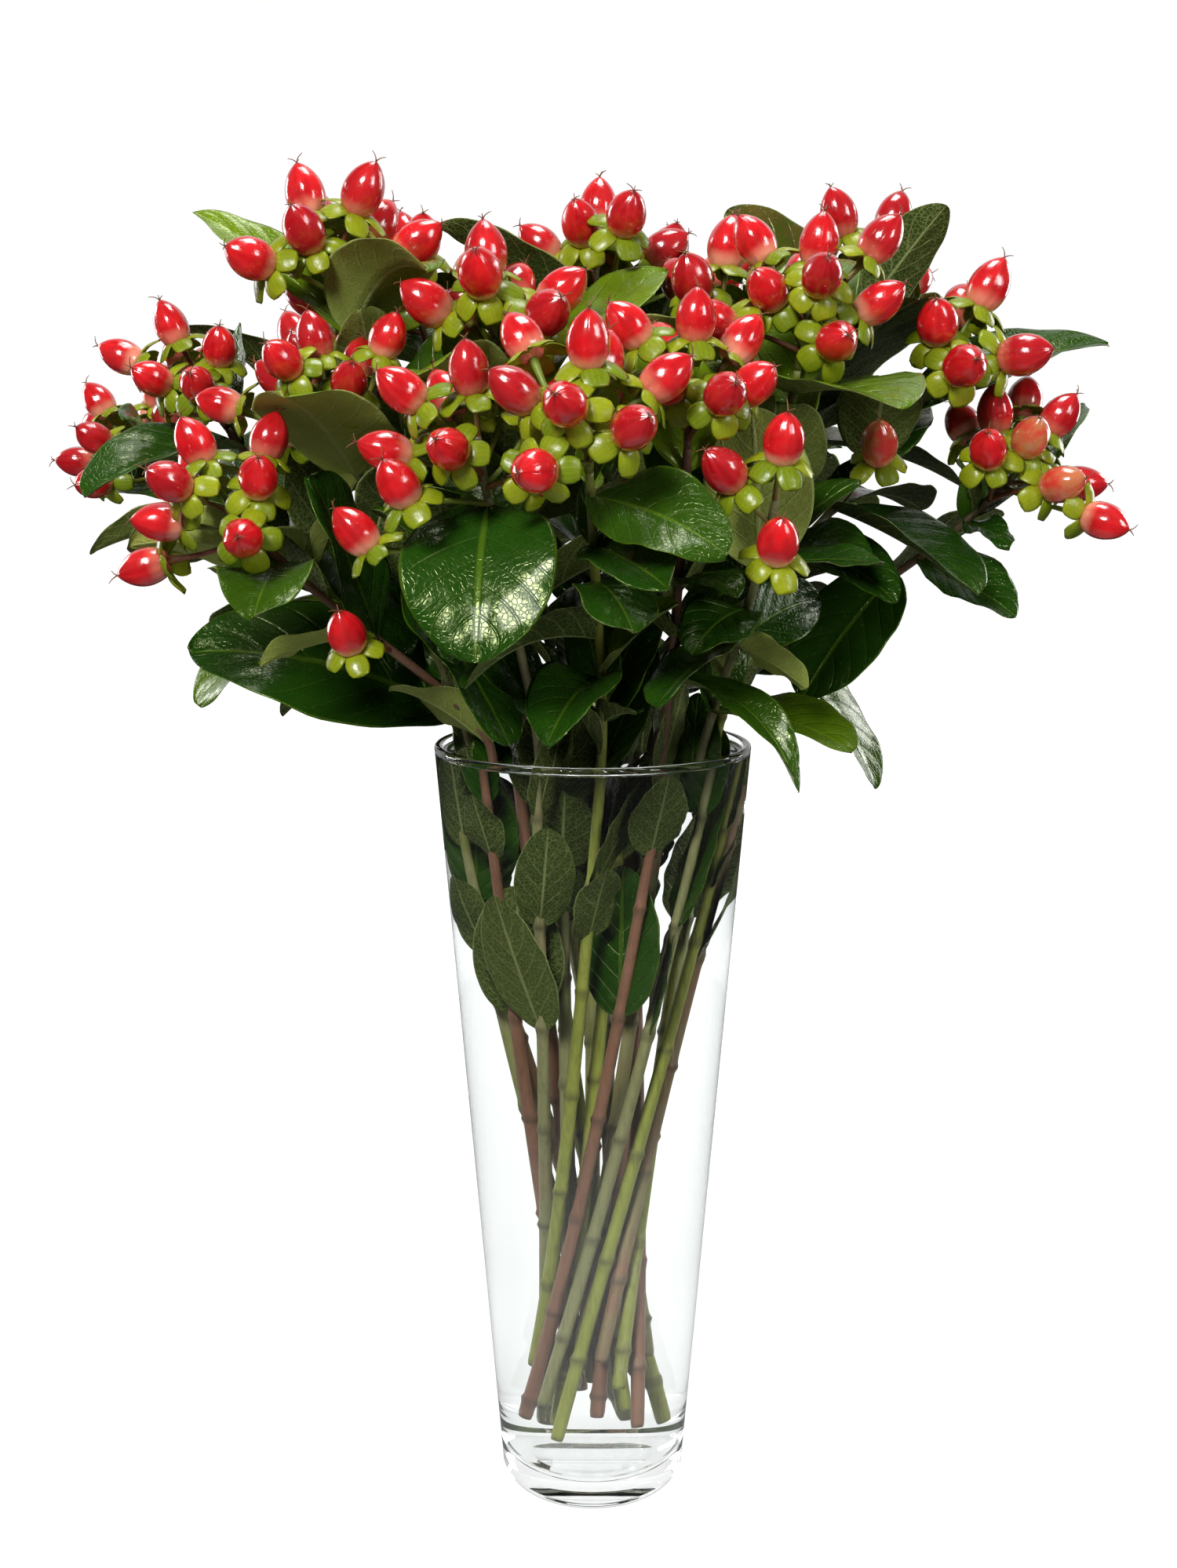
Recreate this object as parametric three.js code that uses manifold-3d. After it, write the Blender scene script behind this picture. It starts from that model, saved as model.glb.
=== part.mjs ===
// A bunch of berried hypericum stems standing in water in a tall tapered glass vase.
// Millimetres, +Z up. The origin is the middle of the vase's foot, on the surface it stands on.
//
// Every stem is drawn from one planting table. Inside the vase the stems are straight and lean
// round each other like a hand-tied spiral, so no two of them meet; above the rim they curve out
// to their places in the dome. Fruits and leaves are then set one at a time, and each is turned,
// lifted or shortened until it is clear of everything that is already there.

import * as THREE from "three";
import Module from "manifold-3d";

const wasm = await Module();
wasm.setup();

// ---------------------------------------------------------------- driving dimensions
const VASE_HEIGHT = 300;
const VASE_TOP_RADIUS = 60;
const VASE_FOOT_RADIUS = 36;
const VASE_WALL = 3;
const VASE_FLOOR = 10; // thickness of the glass bottom
const VASE_EDGE = 5; // rounding where the foot meets the wall
const RIM_BEAD = 3.4; // height of the fire-polished rim
const RIM_PROUD = 0.5; // how far the rim stands out from the wall
const VASE_SIDES = 36;

const WATER_DEPTH_BELOW_RIM = 4;
const SEAT = 0.3; // gap between two solids that touch
const HOLE_GAP = 0.4; // gap between the water and what stands in it

const STEM_FOOT_RADIUS = 2.2;
const STEM_TIP_RADIUS = 1.2;
const BUNDLE_FOOT = 24; // radius of the bundle at the vase's floor
const BUNDLE_MOUTH = 50; // and at the rim
const BUNDLE_TWIST = -128; // degrees that the spiral turns between the two
const RINGS = [0, 0.46, 0.93]; // where the stems stand in the bundle, as shares of its radius
const RING_SLOTS = [1, 7, 13];
const RING_START = [0, 38, 52]; // degrees
const STEM_LIFT = 0.3; // how far the tips turn up again, 0 to 1
const STEM_START = 0.5; // how long a stem holds its first direction, as a share of its length
const STEM_END = 0.9; // and its last

const BERRY_RADIUS = 6.8;
const BERRY_HEIGHT = 16.8;
const SEPAL_LENGTH = 9;
const PEDICEL_RADIUS = 0.9;
const SPRAY_LENGTH = 21; // the bare top of each stem that carries the fruits

const LEAF_LENGTH = 70;
const LEAF_HALF_WIDTH = 0.3; // as a share of its length
const LEAF_THICKNESS = 1.4; // at the rib
const FIRST_PAIR = 29; // from the tip of the stem to the first pair of leaves
const PAIR_STEP = 43; // and from each pair to the next
const DRY_PAIRS = 4; // the most pairs above the rim on one stem
const WET_LEAF_LENGTH = 58;
const LOWEST_LEAF = 172; // height of the lowest pair in the water
const FIRST_STRIPPED = 268; // below this height the stems were stripped of most of their leaves

const LEAF_CLEAR = 2.3; // half the space that two leaves keep between them

// One row for each stem: its ring and slot in the bundle, the tip of its spray, the height of its
// cut foot, the turn of its first pair of leaves in degrees, and how many fruits it carries.
const STEMS = [
  { ring: 0, slot: 0, tip: [1, 2, 474], foot: 44, turn: 20, fruits: 3 },
  { ring: 1, slot: 0, tip: [107, 30, 476], foot: 32, turn: 75, fruits: 3 },
  { ring: 1, slot: 1, tip: [26, 72, 468], foot: 50, turn: 10, fruits: 3 },
  { ring: 1, slot: 2, tip: [-68, 34, 467], foot: 30, turn: 50, fruits: 3 },
  { ring: 1, slot: 3, tip: [-95, -18, 476], foot: 56, turn: 100, fruits: 3 },
  { ring: 1, slot: 4, tip: [-34, -54, 452], foot: 38, turn: 35, fruits: 3 },
  { ring: 1, slot: 5, tip: [43, -38, 456], foot: 24, turn: 80, fruits: 3 },
  { ring: 1, slot: 6, tip: [129, -20, 446], foot: 52, turn: 15, fruits: 3 },
  { ring: 2, slot: 0, tip: [88, 122, 436], foot: 46, turn: 60, fruits: 4 },
  { ring: 2, slot: 1, tip: [2, 142, 430], foot: 28, turn: 30, fruits: 4 },
  { ring: 2, slot: 2, tip: [-116, 94, 438], foot: 54, turn: 85, fruits: 4 },
  { ring: 2, slot: 3, tip: [-186, 56, 412], foot: 22, turn: 15, fruits: 4 },
  { ring: 2, slot: 4, tip: [-143, -10, 434], foot: 42, turn: 65, fruits: 4 },
  { ring: 2, slot: 5, tip: [-88, -56, 426], foot: 20, turn: 110, fruits: 4 },
  { ring: 2, slot: 6, tip: [-117, -92, 393], foot: 34, turn: 40, fruits: 4 },
  { ring: 2, slot: 7, tip: [-35, -119, 412], foot: 18, turn: 90, fruits: 4 },
  { ring: 2, slot: 8, tip: [-2, -143, 419], foot: 48, turn: 25, fruits: 4 },
  { ring: 2, slot: 9, tip: [30, -104, 428], foot: 26, turn: 70, fruits: 4 },
  { ring: 2, slot: 10, tip: [55, -118, 393], foot: 36, turn: 120, fruits: 2 },
  { ring: 2, slot: 11, tip: [70, -66, 454], foot: 24, turn: 55, fruits: 4 },
  { ring: 2, slot: 12, tip: [154, -20, 404], foot: 58, turn: 5, fruits: 4 },
];

// Each fruit of a spray: how far below the tip it branches off, which way round and at what tilt
// from the stem, in degrees, and how long its pedicel is.
const FRUITS = [
  { down: 1, around: 0, tilt: 3, pedicel: 13 },
  { down: 9, around: 40, tilt: 46, pedicel: 17 },
  { down: 13, around: 165, tilt: 50, pedicel: 20 },
  { down: 17, around: 285, tilt: 50, pedicel: 23 },
];

// The leaves that give the bunch its face, the most important first: the stem, the pair and the
// side of the stem that each one takes, how far it grows below the tip of its stem, where its own
// tip ends, its width against the common leaf, and its roll, fold and bend.
const KEY_LEAVES = [
  { stem: 16, pair: 0, side: 0, down: 24, tip: [-21, -138, 347],
    width: 1.45, roll: 0, fold: 8, bend: 1.6 },
  { stem: 17, pair: 0, side: 0, down: 30, tip: [38, -152, 378], width: 1, roll: 45, fold: 10, bend: 0.5 },
  { stem: 18, pair: 2, side: 0, down: 98, tip: [92, -82, 390], width: 0.75, roll: 30, fold: 14, bend: 0.4 },
  { stem: 15, pair: 1, side: 0, down: 74, tip: [-91, -86, 400],
    width: 1.05, roll: -70, fold: 10, bend: 0.3 },
  { stem: 14, pair: 0, side: 0, down: 29, tip: [-96, -100, 424],
    width: 1.3, roll: 0, fold: 8, bend: 0.5 },
  { stem: 2, pair: 1, side: 0, down: 58, tip: [127, -36, 449],
    width: 1.2, roll: 0, fold: 10, bend: 0.5 },
  { stem: 21, pair: 0, side: 0, down: 29, tip: [138, -38, 383],
    width: 0.9, roll: 20, fold: 12, bend: 0.4 },
  { stem: 21, pair: 0, side: 1, down: 29, tip: [177, 30, 439],
    width: 0.6, roll: 20, fold: 12, bend: 0.4 },
  { stem: 13, pair: 1, side: 0, down: 74, tip: [-71, -40, 331], width: 1.25, roll: -30, fold: 10, bend: 0.6 },
  { stem: 14, pair: 2, side: 0, down: 128, tip: [-139, -18, 359],
    width: 0.9, roll: -45, fold: 10, bend: 0.5 },
  { stem: 16, pair: 2, side: 0, down: 115, tip: [-51, -72, 366], width: 1, roll: -60, fold: 14, bend: 0.3 },
  { stem: 14, pair: 1, side: 0, down: 74, tip: [-32, -66, 312], width: 1, roll: 0, fold: 12, bend: 0.6 },
  { stem: 15, pair: 3, side: 0, down: 136, tip: [-68, -54, 326], width: 0.9, roll: 20, fold: 16, bend: 0.5 },
  { stem: 18, pair: 2, side: 1, down: 112, tip: [68, -88, 297],
    width: 0.42, roll: 20, fold: 30, bend: 1.6 },
  { stem: 20, pair: 1, side: 0, down: 72, tip: [60, -66, 424], width: 1.4, roll: 0, fold: 8, bend: 0.7 },
  { stem: 17, pair: 1, side: 0, down: 66, tip: [12, -126, 353], width: 1.5, roll: 0, fold: 6, bend: 0.9 },
  { stem: 17, pair: 2, side: 0, down: 150, tip: [-23, -76, 345],
    width: 0.9, roll: -30, fold: 12, bend: 0.4 },
  { stem: 15, pair: 0, side: 0, down: 29, tip: [-93, -126, 366], width: 1.1, roll: 0, fold: 14, bend: 0.6 },
  { stem: 15, pair: 0, side: 1, down: 29, tip: [-154, -82, 370], width: 0.8, roll: 60, fold: 30, bend: 0.5 },
  { stem: 14, pair: 0, side: 1, down: 29, tip: [-88, -62, 369], width: 0.64, roll: 60, fold: 14, bend: 0.6 },
  { stem: 15, pair: 1, side: 1, down: 70, tip: [-104, -88, 346], width: 0.7, roll: 30, fold: 24, bend: 0.5 },
  { stem: 12, pair: 0, side: 0, down: 29, tip: [-211, 62, 404], width: 1, roll: -35, fold: 14, bend: 0.4 },
  { stem: 12, pair: 0, side: 1, down: 29, tip: [-172, 4, 420], width: 1, roll: -40, fold: 16, bend: 0.4 },
  { stem: 12, pair: 1, side: 0, down: 50, tip: [-197, 30, 382], width: 0.8, roll: 30, fold: 25, bend: 0.5 },
  { stem: 12, pair: 1, side: 1, down: 62, tip: [-178, 18, 372], width: 1, roll: 60, fold: 12, bend: 0.5 },
  { stem: 13, pair: 0, side: 0, down: 29, tip: [-128, 0, 454], width: 0.9, roll: -60, fold: 14, bend: 0.3 },
  { stem: 5, pair: 0, side: 0, down: 29, tip: [-143, -2, 492], width: 0.6, roll: -30, fold: 22, bend: 0.3 },
  { stem: 5, pair: 1, side: 0, down: 72, tip: [-67, -62, 428], width: 0.6, roll: 60, fold: 30, bend: 0.3 },
  { stem: 11, pair: 0, side: 0, down: 29, tip: [-152, 62, 472], width: 0.8, roll: 10, fold: 16, bend: 0.4 },
  { stem: 2, pair: 0, side: 0, down: 29, tip: [127, 0, 495], width: 0.7, roll: -40, fold: 16, bend: 0.2 },
  { stem: 2, pair: 0, side: 1, down: 29, tip: [58, 0, 496], width: 1, roll: -50, fold: 12, bend: 0.3 },
  { stem: 3, pair: 0, side: 0, down: 29, tip: [32, 8, 474], width: 0.9, roll: 0, fold: 14, bend: 0.4 },
  { stem: 7, pair: 0, side: 1, down: 29, tip: [4, -78, 444], width: 0.9, roll: 30, fold: 16, bend: 0.5 },
  { stem: 8, pair: 0, side: 0, down: 29, tip: [190, 8, 447], width: 0.75, roll: 20, fold: 20, bend: 0.4 },
  { stem: 17, pair: 0, side: 1, down: 29, tip: [12, -104, 411],
    width: 0.6, roll: 30, fold: 20, bend: 0.3 },
  { stem: 17, pair: 2, side: 1, down: 112, tip: [27, -100, 360], width: 0.6, roll: 60, fold: 36, bend: 0.4 },
  { stem: 19, pair: 0, side: 0, down: 29, tip: [49, -100, 421],
    width: 1.2, roll: 60, fold: 10, bend: 0.6 },
  { stem: 21, pair: 1, side: 0, down: 72, tip: [157, 20, 384], width: 0.8, roll: -35, fold: 12, bend: 0.4 },
  { stem: 21, pair: 1, side: 1, down: 60, tip: [77, -16, 318], width: 1, roll: -45, fold: 14, bend: 0.5 },
  { stem: 21, pair: 2, side: 0, down: 115, tip: [120, 30, 350], width: 0.7, roll: -30, fold: 16, bend: 0.4 },
  { stem: 19, pair: 1, side: 0, down: 72, tip: [64, -85, 327], width: 0.9, roll: -60, fold: 20, bend: 0.4 },
  { stem: 19, pair: 0, side: 1, down: 29, tip: [76, -75, 394], width: 0.7, roll: 20, fold: 16, bend: 0.4 },
  { stem: 19, pair: 1, side: 1, down: 72, tip: [82, -20, 355], width: 0.7, roll: 60, fold: 16, bend: 0.4 },
];

// ---------------------------------------------------------------- small helpers
const vec = (x, y, z) => new THREE.Vector3(x, y, z);
const UP = vec(0, 0, 1);
const radians = (degrees) => (degrees * Math.PI) / 180;
const mix = (a, b, t) => a + (b - a) * t;

// A seeded draw: each call gives the next number from 0 to 1.
function draws(seed) {
  let state = seed;
  return () => {
    state = (state * 1664525 + 1013904223) % 4294967296;
    return state / 4294967296;
  };
}

// The unit vector square to direction that points round it by the given angle.
function around(direction, degrees) {
  const first = vec(1, 0, 0).addScaledVector(direction, -direction.x).normalize();
  const second = direction.clone().cross(first);
  const angle = radians(degrees);
  return first.multiplyScalar(Math.cos(angle)).addScaledVector(second, Math.sin(angle));
}

// ---------------------------------------------------------------- the lines of the stems
function bundlePoint(row, radius, twist, z) {
  const angle = radians(RING_START[row.ring] + (360 / RING_SLOTS[row.ring]) * row.slot + twist);
  const r = RINGS[row.ring] * radius;
  return vec(r * Math.cos(angle), r * Math.sin(angle), z);
}

const CURVE_STEPS = 24;

// The line of a stem from its tip down to its cut foot, as points with their distance from the tip.
function stemLine(row) {
  const floor = bundlePoint(row, BUNDLE_FOOT, BUNDLE_TWIST, VASE_FLOOR);
  const mouth = bundlePoint(row, BUNDLE_MOUTH, 0, VASE_HEIGHT);
  const tip = vec(...row.tip);
  const chord = tip.clone().sub(mouth);
  const length = chord.length();
  const start = mouth.clone().sub(floor).normalize().multiplyScalar(length * STEM_START);
  const end = chord.normalize().multiplyScalar(1 - STEM_LIFT).addScaledVector(UP, STEM_LIFT);
  end.normalize().multiplyScalar(length * STEM_END);
  const points = [];
  for (let step = CURVE_STEPS; step >= 0; step--) {
    const t = step / CURVE_STEPS;
    const s = 1 - t;
    points.push(
      mouth.clone().multiplyScalar((1 + 2 * t) * s * s)
        .addScaledVector(start, t * s * s)
        .addScaledVector(tip, t * t * (3 - 2 * t))
        .addScaledVector(end, -t * t * s),
    );
  }
  const share = (row.foot - VASE_FLOOR) / (VASE_HEIGHT - VASE_FLOOR);
  points.push(floor.clone().lerp(mouth, share));
  const down = [0];
  for (let i = 1; i < points.length; i++) {
    down.push(down[i - 1] + points[i].distanceTo(points[i - 1]));
  }
  return { points, down, mouthDown: down[CURVE_STEPS], footDown: down[CURVE_STEPS + 1] };
}

// Where a stem is at a distance below its tip, and the way it grows there.
function stemAt(line, distance) {
  let i = 1;
  while (i < line.points.length - 1 && line.down[i] < distance) i++;
  const share = (distance - line.down[i - 1]) / (line.down[i] - line.down[i - 1]);
  const point = line.points[i - 1].clone().lerp(line.points[i], share);
  const direction = line.points[i - 1].clone().sub(line.points[i]).normalize();
  return { point, direction };
}

const stemRadius = (line, distance) =>
  mix(STEM_TIP_RADIUS, STEM_FOOT_RADIUS, Math.pow(distance / line.footDown, 0.7));

// ---------------------------------------------------------------- keeping things clear
// Everything that is placed is remembered as a cluster of small balls, with one large ball round
// the whole cluster, the stem it is on, and its kind: wood, top, fruit or leaf. The top is the
// wood that carries the fruits.
const placed = [];

function cluster(balls, stem, kind) {
  const middle = balls[Math.floor(balls.length / 2)].at;
  const reach = Math.max(...balls.map((ball) => ball.at.distanceTo(middle) + ball.radius));
  return { balls, stem, kind, middle, reach };
}

const meet = (a, b) => a.at.distanceToSquared(b.at) < (a.radius + b.radius) ** 2;

function crosses(mine) {
  return placed.some((other) => {
    const own = other.stem === mine.stem;
    if (own && other.kind === "wood") return false;
    if (own && other.kind === "top" && mine.kind === "fruit") return false;
    if (other.middle.distanceTo(mine.middle) > other.reach + mine.reach) return false;
    return mine.balls.some((a) => other.balls.some((b) => meet(a, b)));
  });
}

const wallRadius = (z) => mix(VASE_FOOT_RADIUS, VASE_TOP_RADIUS, z / VASE_HEIGHT);

// True where a ball touches the vase's wall or reaches below its floor.
function meetsVase(balls) {
  return balls.some(({ at, radius }) => {
    if (at.z > VASE_HEIGHT + radius + 1) return false;
    if (at.z < VASE_FLOOR + radius + 2) return true;
    const out = Math.hypot(at.x, at.y);
    const outer = wallRadius(Math.min(at.z, VASE_HEIGHT));
    return out + radius + 1 > outer - VASE_WALL && out - radius - 1.5 < outer;
  });
}

// ---------------------------------------------------------------- fruits
// Where one fruit stands: its root on the stem, its calyx, the way it points and its size.
function fruitPlace(line, fruit, turn, size, tweak) {
  const root = stemAt(line, fruit.down);
  const tilt = radians(Math.max(0, fruit.tilt + tweak.tilt));
  const aim = root.direction.clone().multiplyScalar(Math.cos(tilt));
  aim.addScaledVector(around(root.direction, turn + fruit.around + tweak.around), Math.sin(tilt));
  aim.addScaledVector(UP, 0.12).normalize();
  const calyx = root.point.clone().addScaledVector(aim, fruit.pedicel * tweak.length);
  return { root: root.point, calyx, aim, size };
}

function fruitBalls(place) {
  const radius = BERRY_RADIUS * place.size;
  const height = BERRY_HEIGHT * place.size;
  const along = (distance) => place.calyx.clone().addScaledVector(place.aim, distance);
  const balls = [
    { at: along(height * 0.36), radius: radius + 0.5 },
    { at: along(height * 0.68), radius: radius * 0.8 + 0.5 },
    { at: along(0), radius: 4 },
  ];
  for (let i = 0; i < 5; i++) {
    const sepal = along(SEPAL_DROP * place.size);
    sepal.addScaledVector(around(place.aim, 72 * i), SEPAL_LENGTH * place.size);
    balls.push({ at: sepal, radius: 1.4 });
  }
  const steps = Math.floor(place.calyx.distanceTo(place.root) / 4);
  for (let i = 1; i < steps; i++) {
    balls.push({ at: place.root.clone().lerp(place.calyx, i / steps), radius: 1.2 });
  }
  return balls;
}

const SEPAL_DROP = -1.6; // the sepals' tips hang below the calyx

const FRUIT_TWEAKS = [];
for (const length of [1, 1.25, 0.8, 1.5]) {
  for (const tilt of [0, -14, 12, -26]) {
    for (const turn of [0, 22, -22, 44, -44]) {
      FRUIT_TWEAKS.push({ length, tilt, around: turn });
    }
  }
}

// ---------------------------------------------------------------- leaves
const leafShape = (t) => 2.245 * Math.pow(t, 0.55) * Math.pow(1 - t, 0.62);

const RIB_STEPS = 20;

// The rib of a leaf as frames: a point, the way to its left and its upper side. The leaf ends at
// leaf.tip, turned about its root and shortened by the tweak, and bends down as it grows out.
function leafPlace(line, leaf, tweak) {
  const node = stemAt(line, leaf.down);
  const chord = leaf.tip.clone().sub(node.point);
  chord.applyAxisAngle(node.direction, radians(tweak.around));
  const across = chord.clone().cross(UP).normalize();
  chord.applyAxisAngle(across, radians(tweak.lift)).multiplyScalar(tweak.length);
  const length = chord.length();
  const aim = chord.clone().normalize();
  const first = aim.clone().addScaledVector(UP, leaf.bend * 0.45).normalize();
  const side = UP.clone().cross(aim).normalize().applyAxisAngle(aim, radians(leaf.roll));
  const rib = [vec(0, 0, 0)];
  const ways = [];
  for (let i = 0; i <= RIB_STEPS; i++) {
    const t = i / RIB_STEPS;
    const way = first.clone().addScaledVector(UP, -leaf.bend * Math.pow(t, 1.3)).normalize();
    ways.push(way);
    if (i < RIB_STEPS) rib.push(rib[i].clone().addScaledVector(way, length / RIB_STEPS));
  }
  const end = rib[RIB_STEPS];
  const stretch = length / end.length();
  const turn = new THREE.Quaternion().setFromUnitVectors(end.clone().normalize(), aim);
  const frames = rib.map((point, i) => {
    const way = ways[i].applyQuaternion(turn);
    const left = side.clone().addScaledVector(way, -side.dot(way)).normalize();
    const at = point.clone().applyQuaternion(turn).multiplyScalar(stretch).add(node.point);
    return { point: at, left, top: way.clone().cross(left) };
  });
  return { ...leaf, length, frames };
}

// A point of a leaf: t along its rib, across from -1 at the right edge to 1 at the left one.
function leafPoint(place, t, across, grow = 0) {
  const step = Math.min(t * RIB_STEPS, RIB_STEPS - 1e-9);
  const i = Math.floor(step);
  const share = step - i;
  const a = place.frames[i];
  const b = place.frames[i + 1];
  const left = a.left.clone().lerp(b.left, share);
  const top = a.top.clone().lerp(b.top, share);
  const half = place.length * LEAF_HALF_WIDTH * place.width * leafShape(t) + grow;
  const fold = radians(place.fold);
  const reach = half * Math.abs(across);
  const wave = place.wave * Math.sin(2 * Math.PI * (1.5 * t + place.phase) + across) * across * across;
  return a.point.clone().lerp(b.point, share)
    .addScaledVector(left, Math.sign(across) * reach * Math.cos(fold))
    .addScaledVector(top, reach * Math.sin(fold) + wave);
}

const PROBE_ACROSS = [-1, -0.75, -0.5, -0.25, 0, 0.25, 0.5, 0.75, 1];
const PROBE_STEPS = 15;

function leafBalls(place) {
  const balls = [];
  for (let i = 2; i < PROBE_STEPS; i++) {
    for (const across of PROBE_ACROSS) {
      balls.push({ at: leafPoint(place, i / PROBE_STEPS, across), radius: LEAF_CLEAR });
    }
  }
  return balls;
}

const LEAF_TWEAKS = [];
for (const length of [1, 0.86, 0.72, 0.6]) {
  for (const lift of [0, 14, -14]) {
    for (const turn of [0, 16, -16, 32, -32, 48, -48]) {
      LEAF_TWEAKS.push({ length, lift, around: turn });
    }
  }
}

// ---------------------------------------------------------------- planting
// Sets what make(tweak) gives where it is clear, trying the tweaks in turn, or gives null.
function settle(kind, stem, make) {
  const { tweaks, balls } = KINDS[kind];
  for (const tweak of tweaks) {
    const place = make(tweak);
    const mine = cluster(balls(place), stem, kind);
    if (!meetsVase(mine.balls) && !crosses(mine)) {
      placed.push(mine);
      return place;
    }
  }
  return null;
}

const KINDS = {
  fruit: { tweaks: FRUIT_TWEAKS, balls: fruitBalls },
  leaf: { tweaks: LEAF_TWEAKS, balls: leafBalls },
};

const WOOD_STEP = 4;
const WOOD_RUN = 6; // balls in each cluster along a stem

function plant() {
  const stems = STEMS.map((row, i) => {
    const line = stemLine(row);
    const wood = [];
    for (let down = 0; down < line.footDown; down += WOOD_STEP) {
      wood.push({ at: stemAt(line, down).point, radius: stemRadius(line, down) + 0.5 });
      const kind = down < SPRAY_LENGTH ? "top" : "wood";
      if (wood.length === WOOD_RUN) placed.push(cluster(wood.splice(0), i, kind));
    }
    return { row, line, fruits: [], leaves: [] };
  });
  const addFruit = (stem, k) => {
    const { row, line, fruits } = stems[stem];
    const draw = draws(1000 + 97 * stem + 13 * k);
    const size = mix(0.88, 1.1, draw());
    const turn = row.turn + mix(-12, 12, draw());
    const make = (tweak) => fruitPlace(line, FRUITS[k], turn, size, tweak);
    const place = settle("fruit", stem, make);
    if (place) fruits.push(place);
  };
  const addLeaf = (stem, leaf) => {
    const { line, leaves } = stems[stem];
    const place = settle("leaf", stem, (tweak) => leafPlace(line, leaf, tweak));
    if (place) leaves.push(place);
  };
  // The middle fruit of every spray, then the key leaves, then the other fruits.
  stems.forEach((_, i) => addFruit(i, 0));
  KEY_LEAVES.forEach((key, k) => {
    const draw = draws(9000 + 31 * k);
    const wave = mix(0.8, 2.2, draw());
    addLeaf(key.stem - 1, { ...key, tip: vec(...key.tip), wave, phase: draw(), key: true });
  });
  for (let k = 1; k < FRUITS.length; k++) {
    stems.forEach(({ row }, i) => {
      if (k < row.fruits) addFruit(i, k);
    });
  }
  // The other leaves, from the top pair of every stem down.
  for (let pair = 0; pair < DRY_PAIRS + 2; pair++) {
    stems.forEach(({ row, line }, i) => {
      const down = FIRST_PAIR + PAIR_STEP * pair;
      const node = stemAt(line, down);
      const wet = node.point.z < VASE_HEIGHT + 12;
      if (!wet && pair >= DRY_PAIRS) return;
      if (wet && (row.ring < 2 || node.point.z < LOWEST_LEAF)) return;
      // Deep in the water most of the leaves were stripped off.
      const deep = node.point.z < FIRST_STRIPPED;
      if (deep && (i + pair) % 3 === 0) return;
      for (const side of deep ? [(i + pair) % 2] : [0, 1]) {
        const isThis = (key) => key.stem === i + 1 && key.pair === pair && key.side === side;
        const draw = draws(5000 + 211 * i + 17 * pair + 180 * side);
        const turn = row.turn + 90 * pair + 180 * side + mix(-10, 10, draw());
        const spread = radians(wet ? mix(12, 20, draw()) : mix(52, 78, draw()));
        const length = (wet ? WET_LEAF_LENGTH : LEAF_LENGTH) * mix(0.82, 1.12, draw());
        const tip = node.point.clone();
        tip.addScaledVector(node.direction, length * Math.cos(spread));
        tip.addScaledVector(around(node.direction, turn), length * Math.sin(spread));
        const leaf = {
          down,
          tip,
          width: mix(0.9, 1.15, draw()) * (wet ? 0.85 : 1),
          roll: mix(-22, 22, draw()),
          fold: wet ? 0 : mix(6, 24, draw()),
          bend: wet ? 0 : mix(0.3, 1.1, draw()),
          wave: wet ? 0 : mix(0.5, 2.4, draw()),
          phase: draw(),
        };
        if (!KEY_LEAVES.some(isThis)) addLeaf(i, leaf);
      }
    });
  }
  return stems;
}

// ---------------------------------------------------------------- solids
function solidFrom(points, triangles) {
  const vertProperties = new Float32Array(points.flatMap((p) => [p.x, p.y, p.z]));
  const triVerts = new Uint32Array(triangles.flat());
  return new wasm.Manifold(new wasm.Mesh({ numProp: 3, vertProperties, triVerts }));
}

// A closed skin over rings of points, which may differ in number. A ring of one point is a pole.
// Rings run anticlockwise seen from the last one, and turn is how far round each one starts.
function skin(rings) {
  const points = rings.flatMap((one) => one.points);
  const triangles = [];
  const cap = (first, count, flip) => {
    for (let i = 1; i < count - 1; i++) {
      triangles.push(flip ? [first, first + i + 1, first + i] : [first, first + i, first + i + 1]);
    }
  };
  let low = 0;
  for (let r = 0; r + 1 < rings.length; r++) {
    const n = rings[r].points.length;
    const m = rings[r + 1].points.length;
    const high = low + n;
    const lead = rings[r + 1].turn - rings[r].turn;
    const ends = [n === 1 ? 0 : n, m === 1 ? 0 : m];
    for (let i = 0, j = 0; i < ends[0] || j < ends[1]; ) {
      const behind = (i + 0.5) / n <= (j + 0.5) / m + lead;
      if (j >= ends[1] || (i < ends[0] && behind)) {
        triangles.push([low + (i % n), low + ((i + 1) % n), high + (j % m)]);
        i++;
      } else {
        triangles.push([low + (i % n), high + ((j + 1) % m), high + (j % m)]);
        j++;
      }
    }
    low = high;
  }
  cap(0, rings[0].points.length, true);
  cap(low, rings[rings.length - 1].points.length, false);
  return solidFrom(points, triangles);
}

// A ring of points round a centre, square to axis.
function ring(centre, axis, sides, radius, turn = 0) {
  const points = Array.from({ length: sides }, (_, i) =>
    centre.clone().addScaledVector(around(axis, turn + (360 / sides) * i), radius),
  );
  return { points, turn: turn / 360 };
}

const STEM_SIDES = 4;

// The wood of a stem between two distances below its tip. grow makes it thicker all over.
function woodSolid(line, from, to, grow = 0) {
  const cuts = [from];
  if (to > line.mouthDown) {
    for (let down = FIRST_PAIR + PAIR_STEP; down < line.mouthDown - 3; down += PAIR_STEP) {
      cuts.push(down);
    }
    cuts.push(line.mouthDown);
  }
  cuts.push(to);
  return skin(
    cuts.reverse().map((down) => {
      const { point, direction } = stemAt(line, down);
      return ring(point, direction, STEM_SIDES, stemRadius(line, down) + grow);
    }),
  );
}

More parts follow.
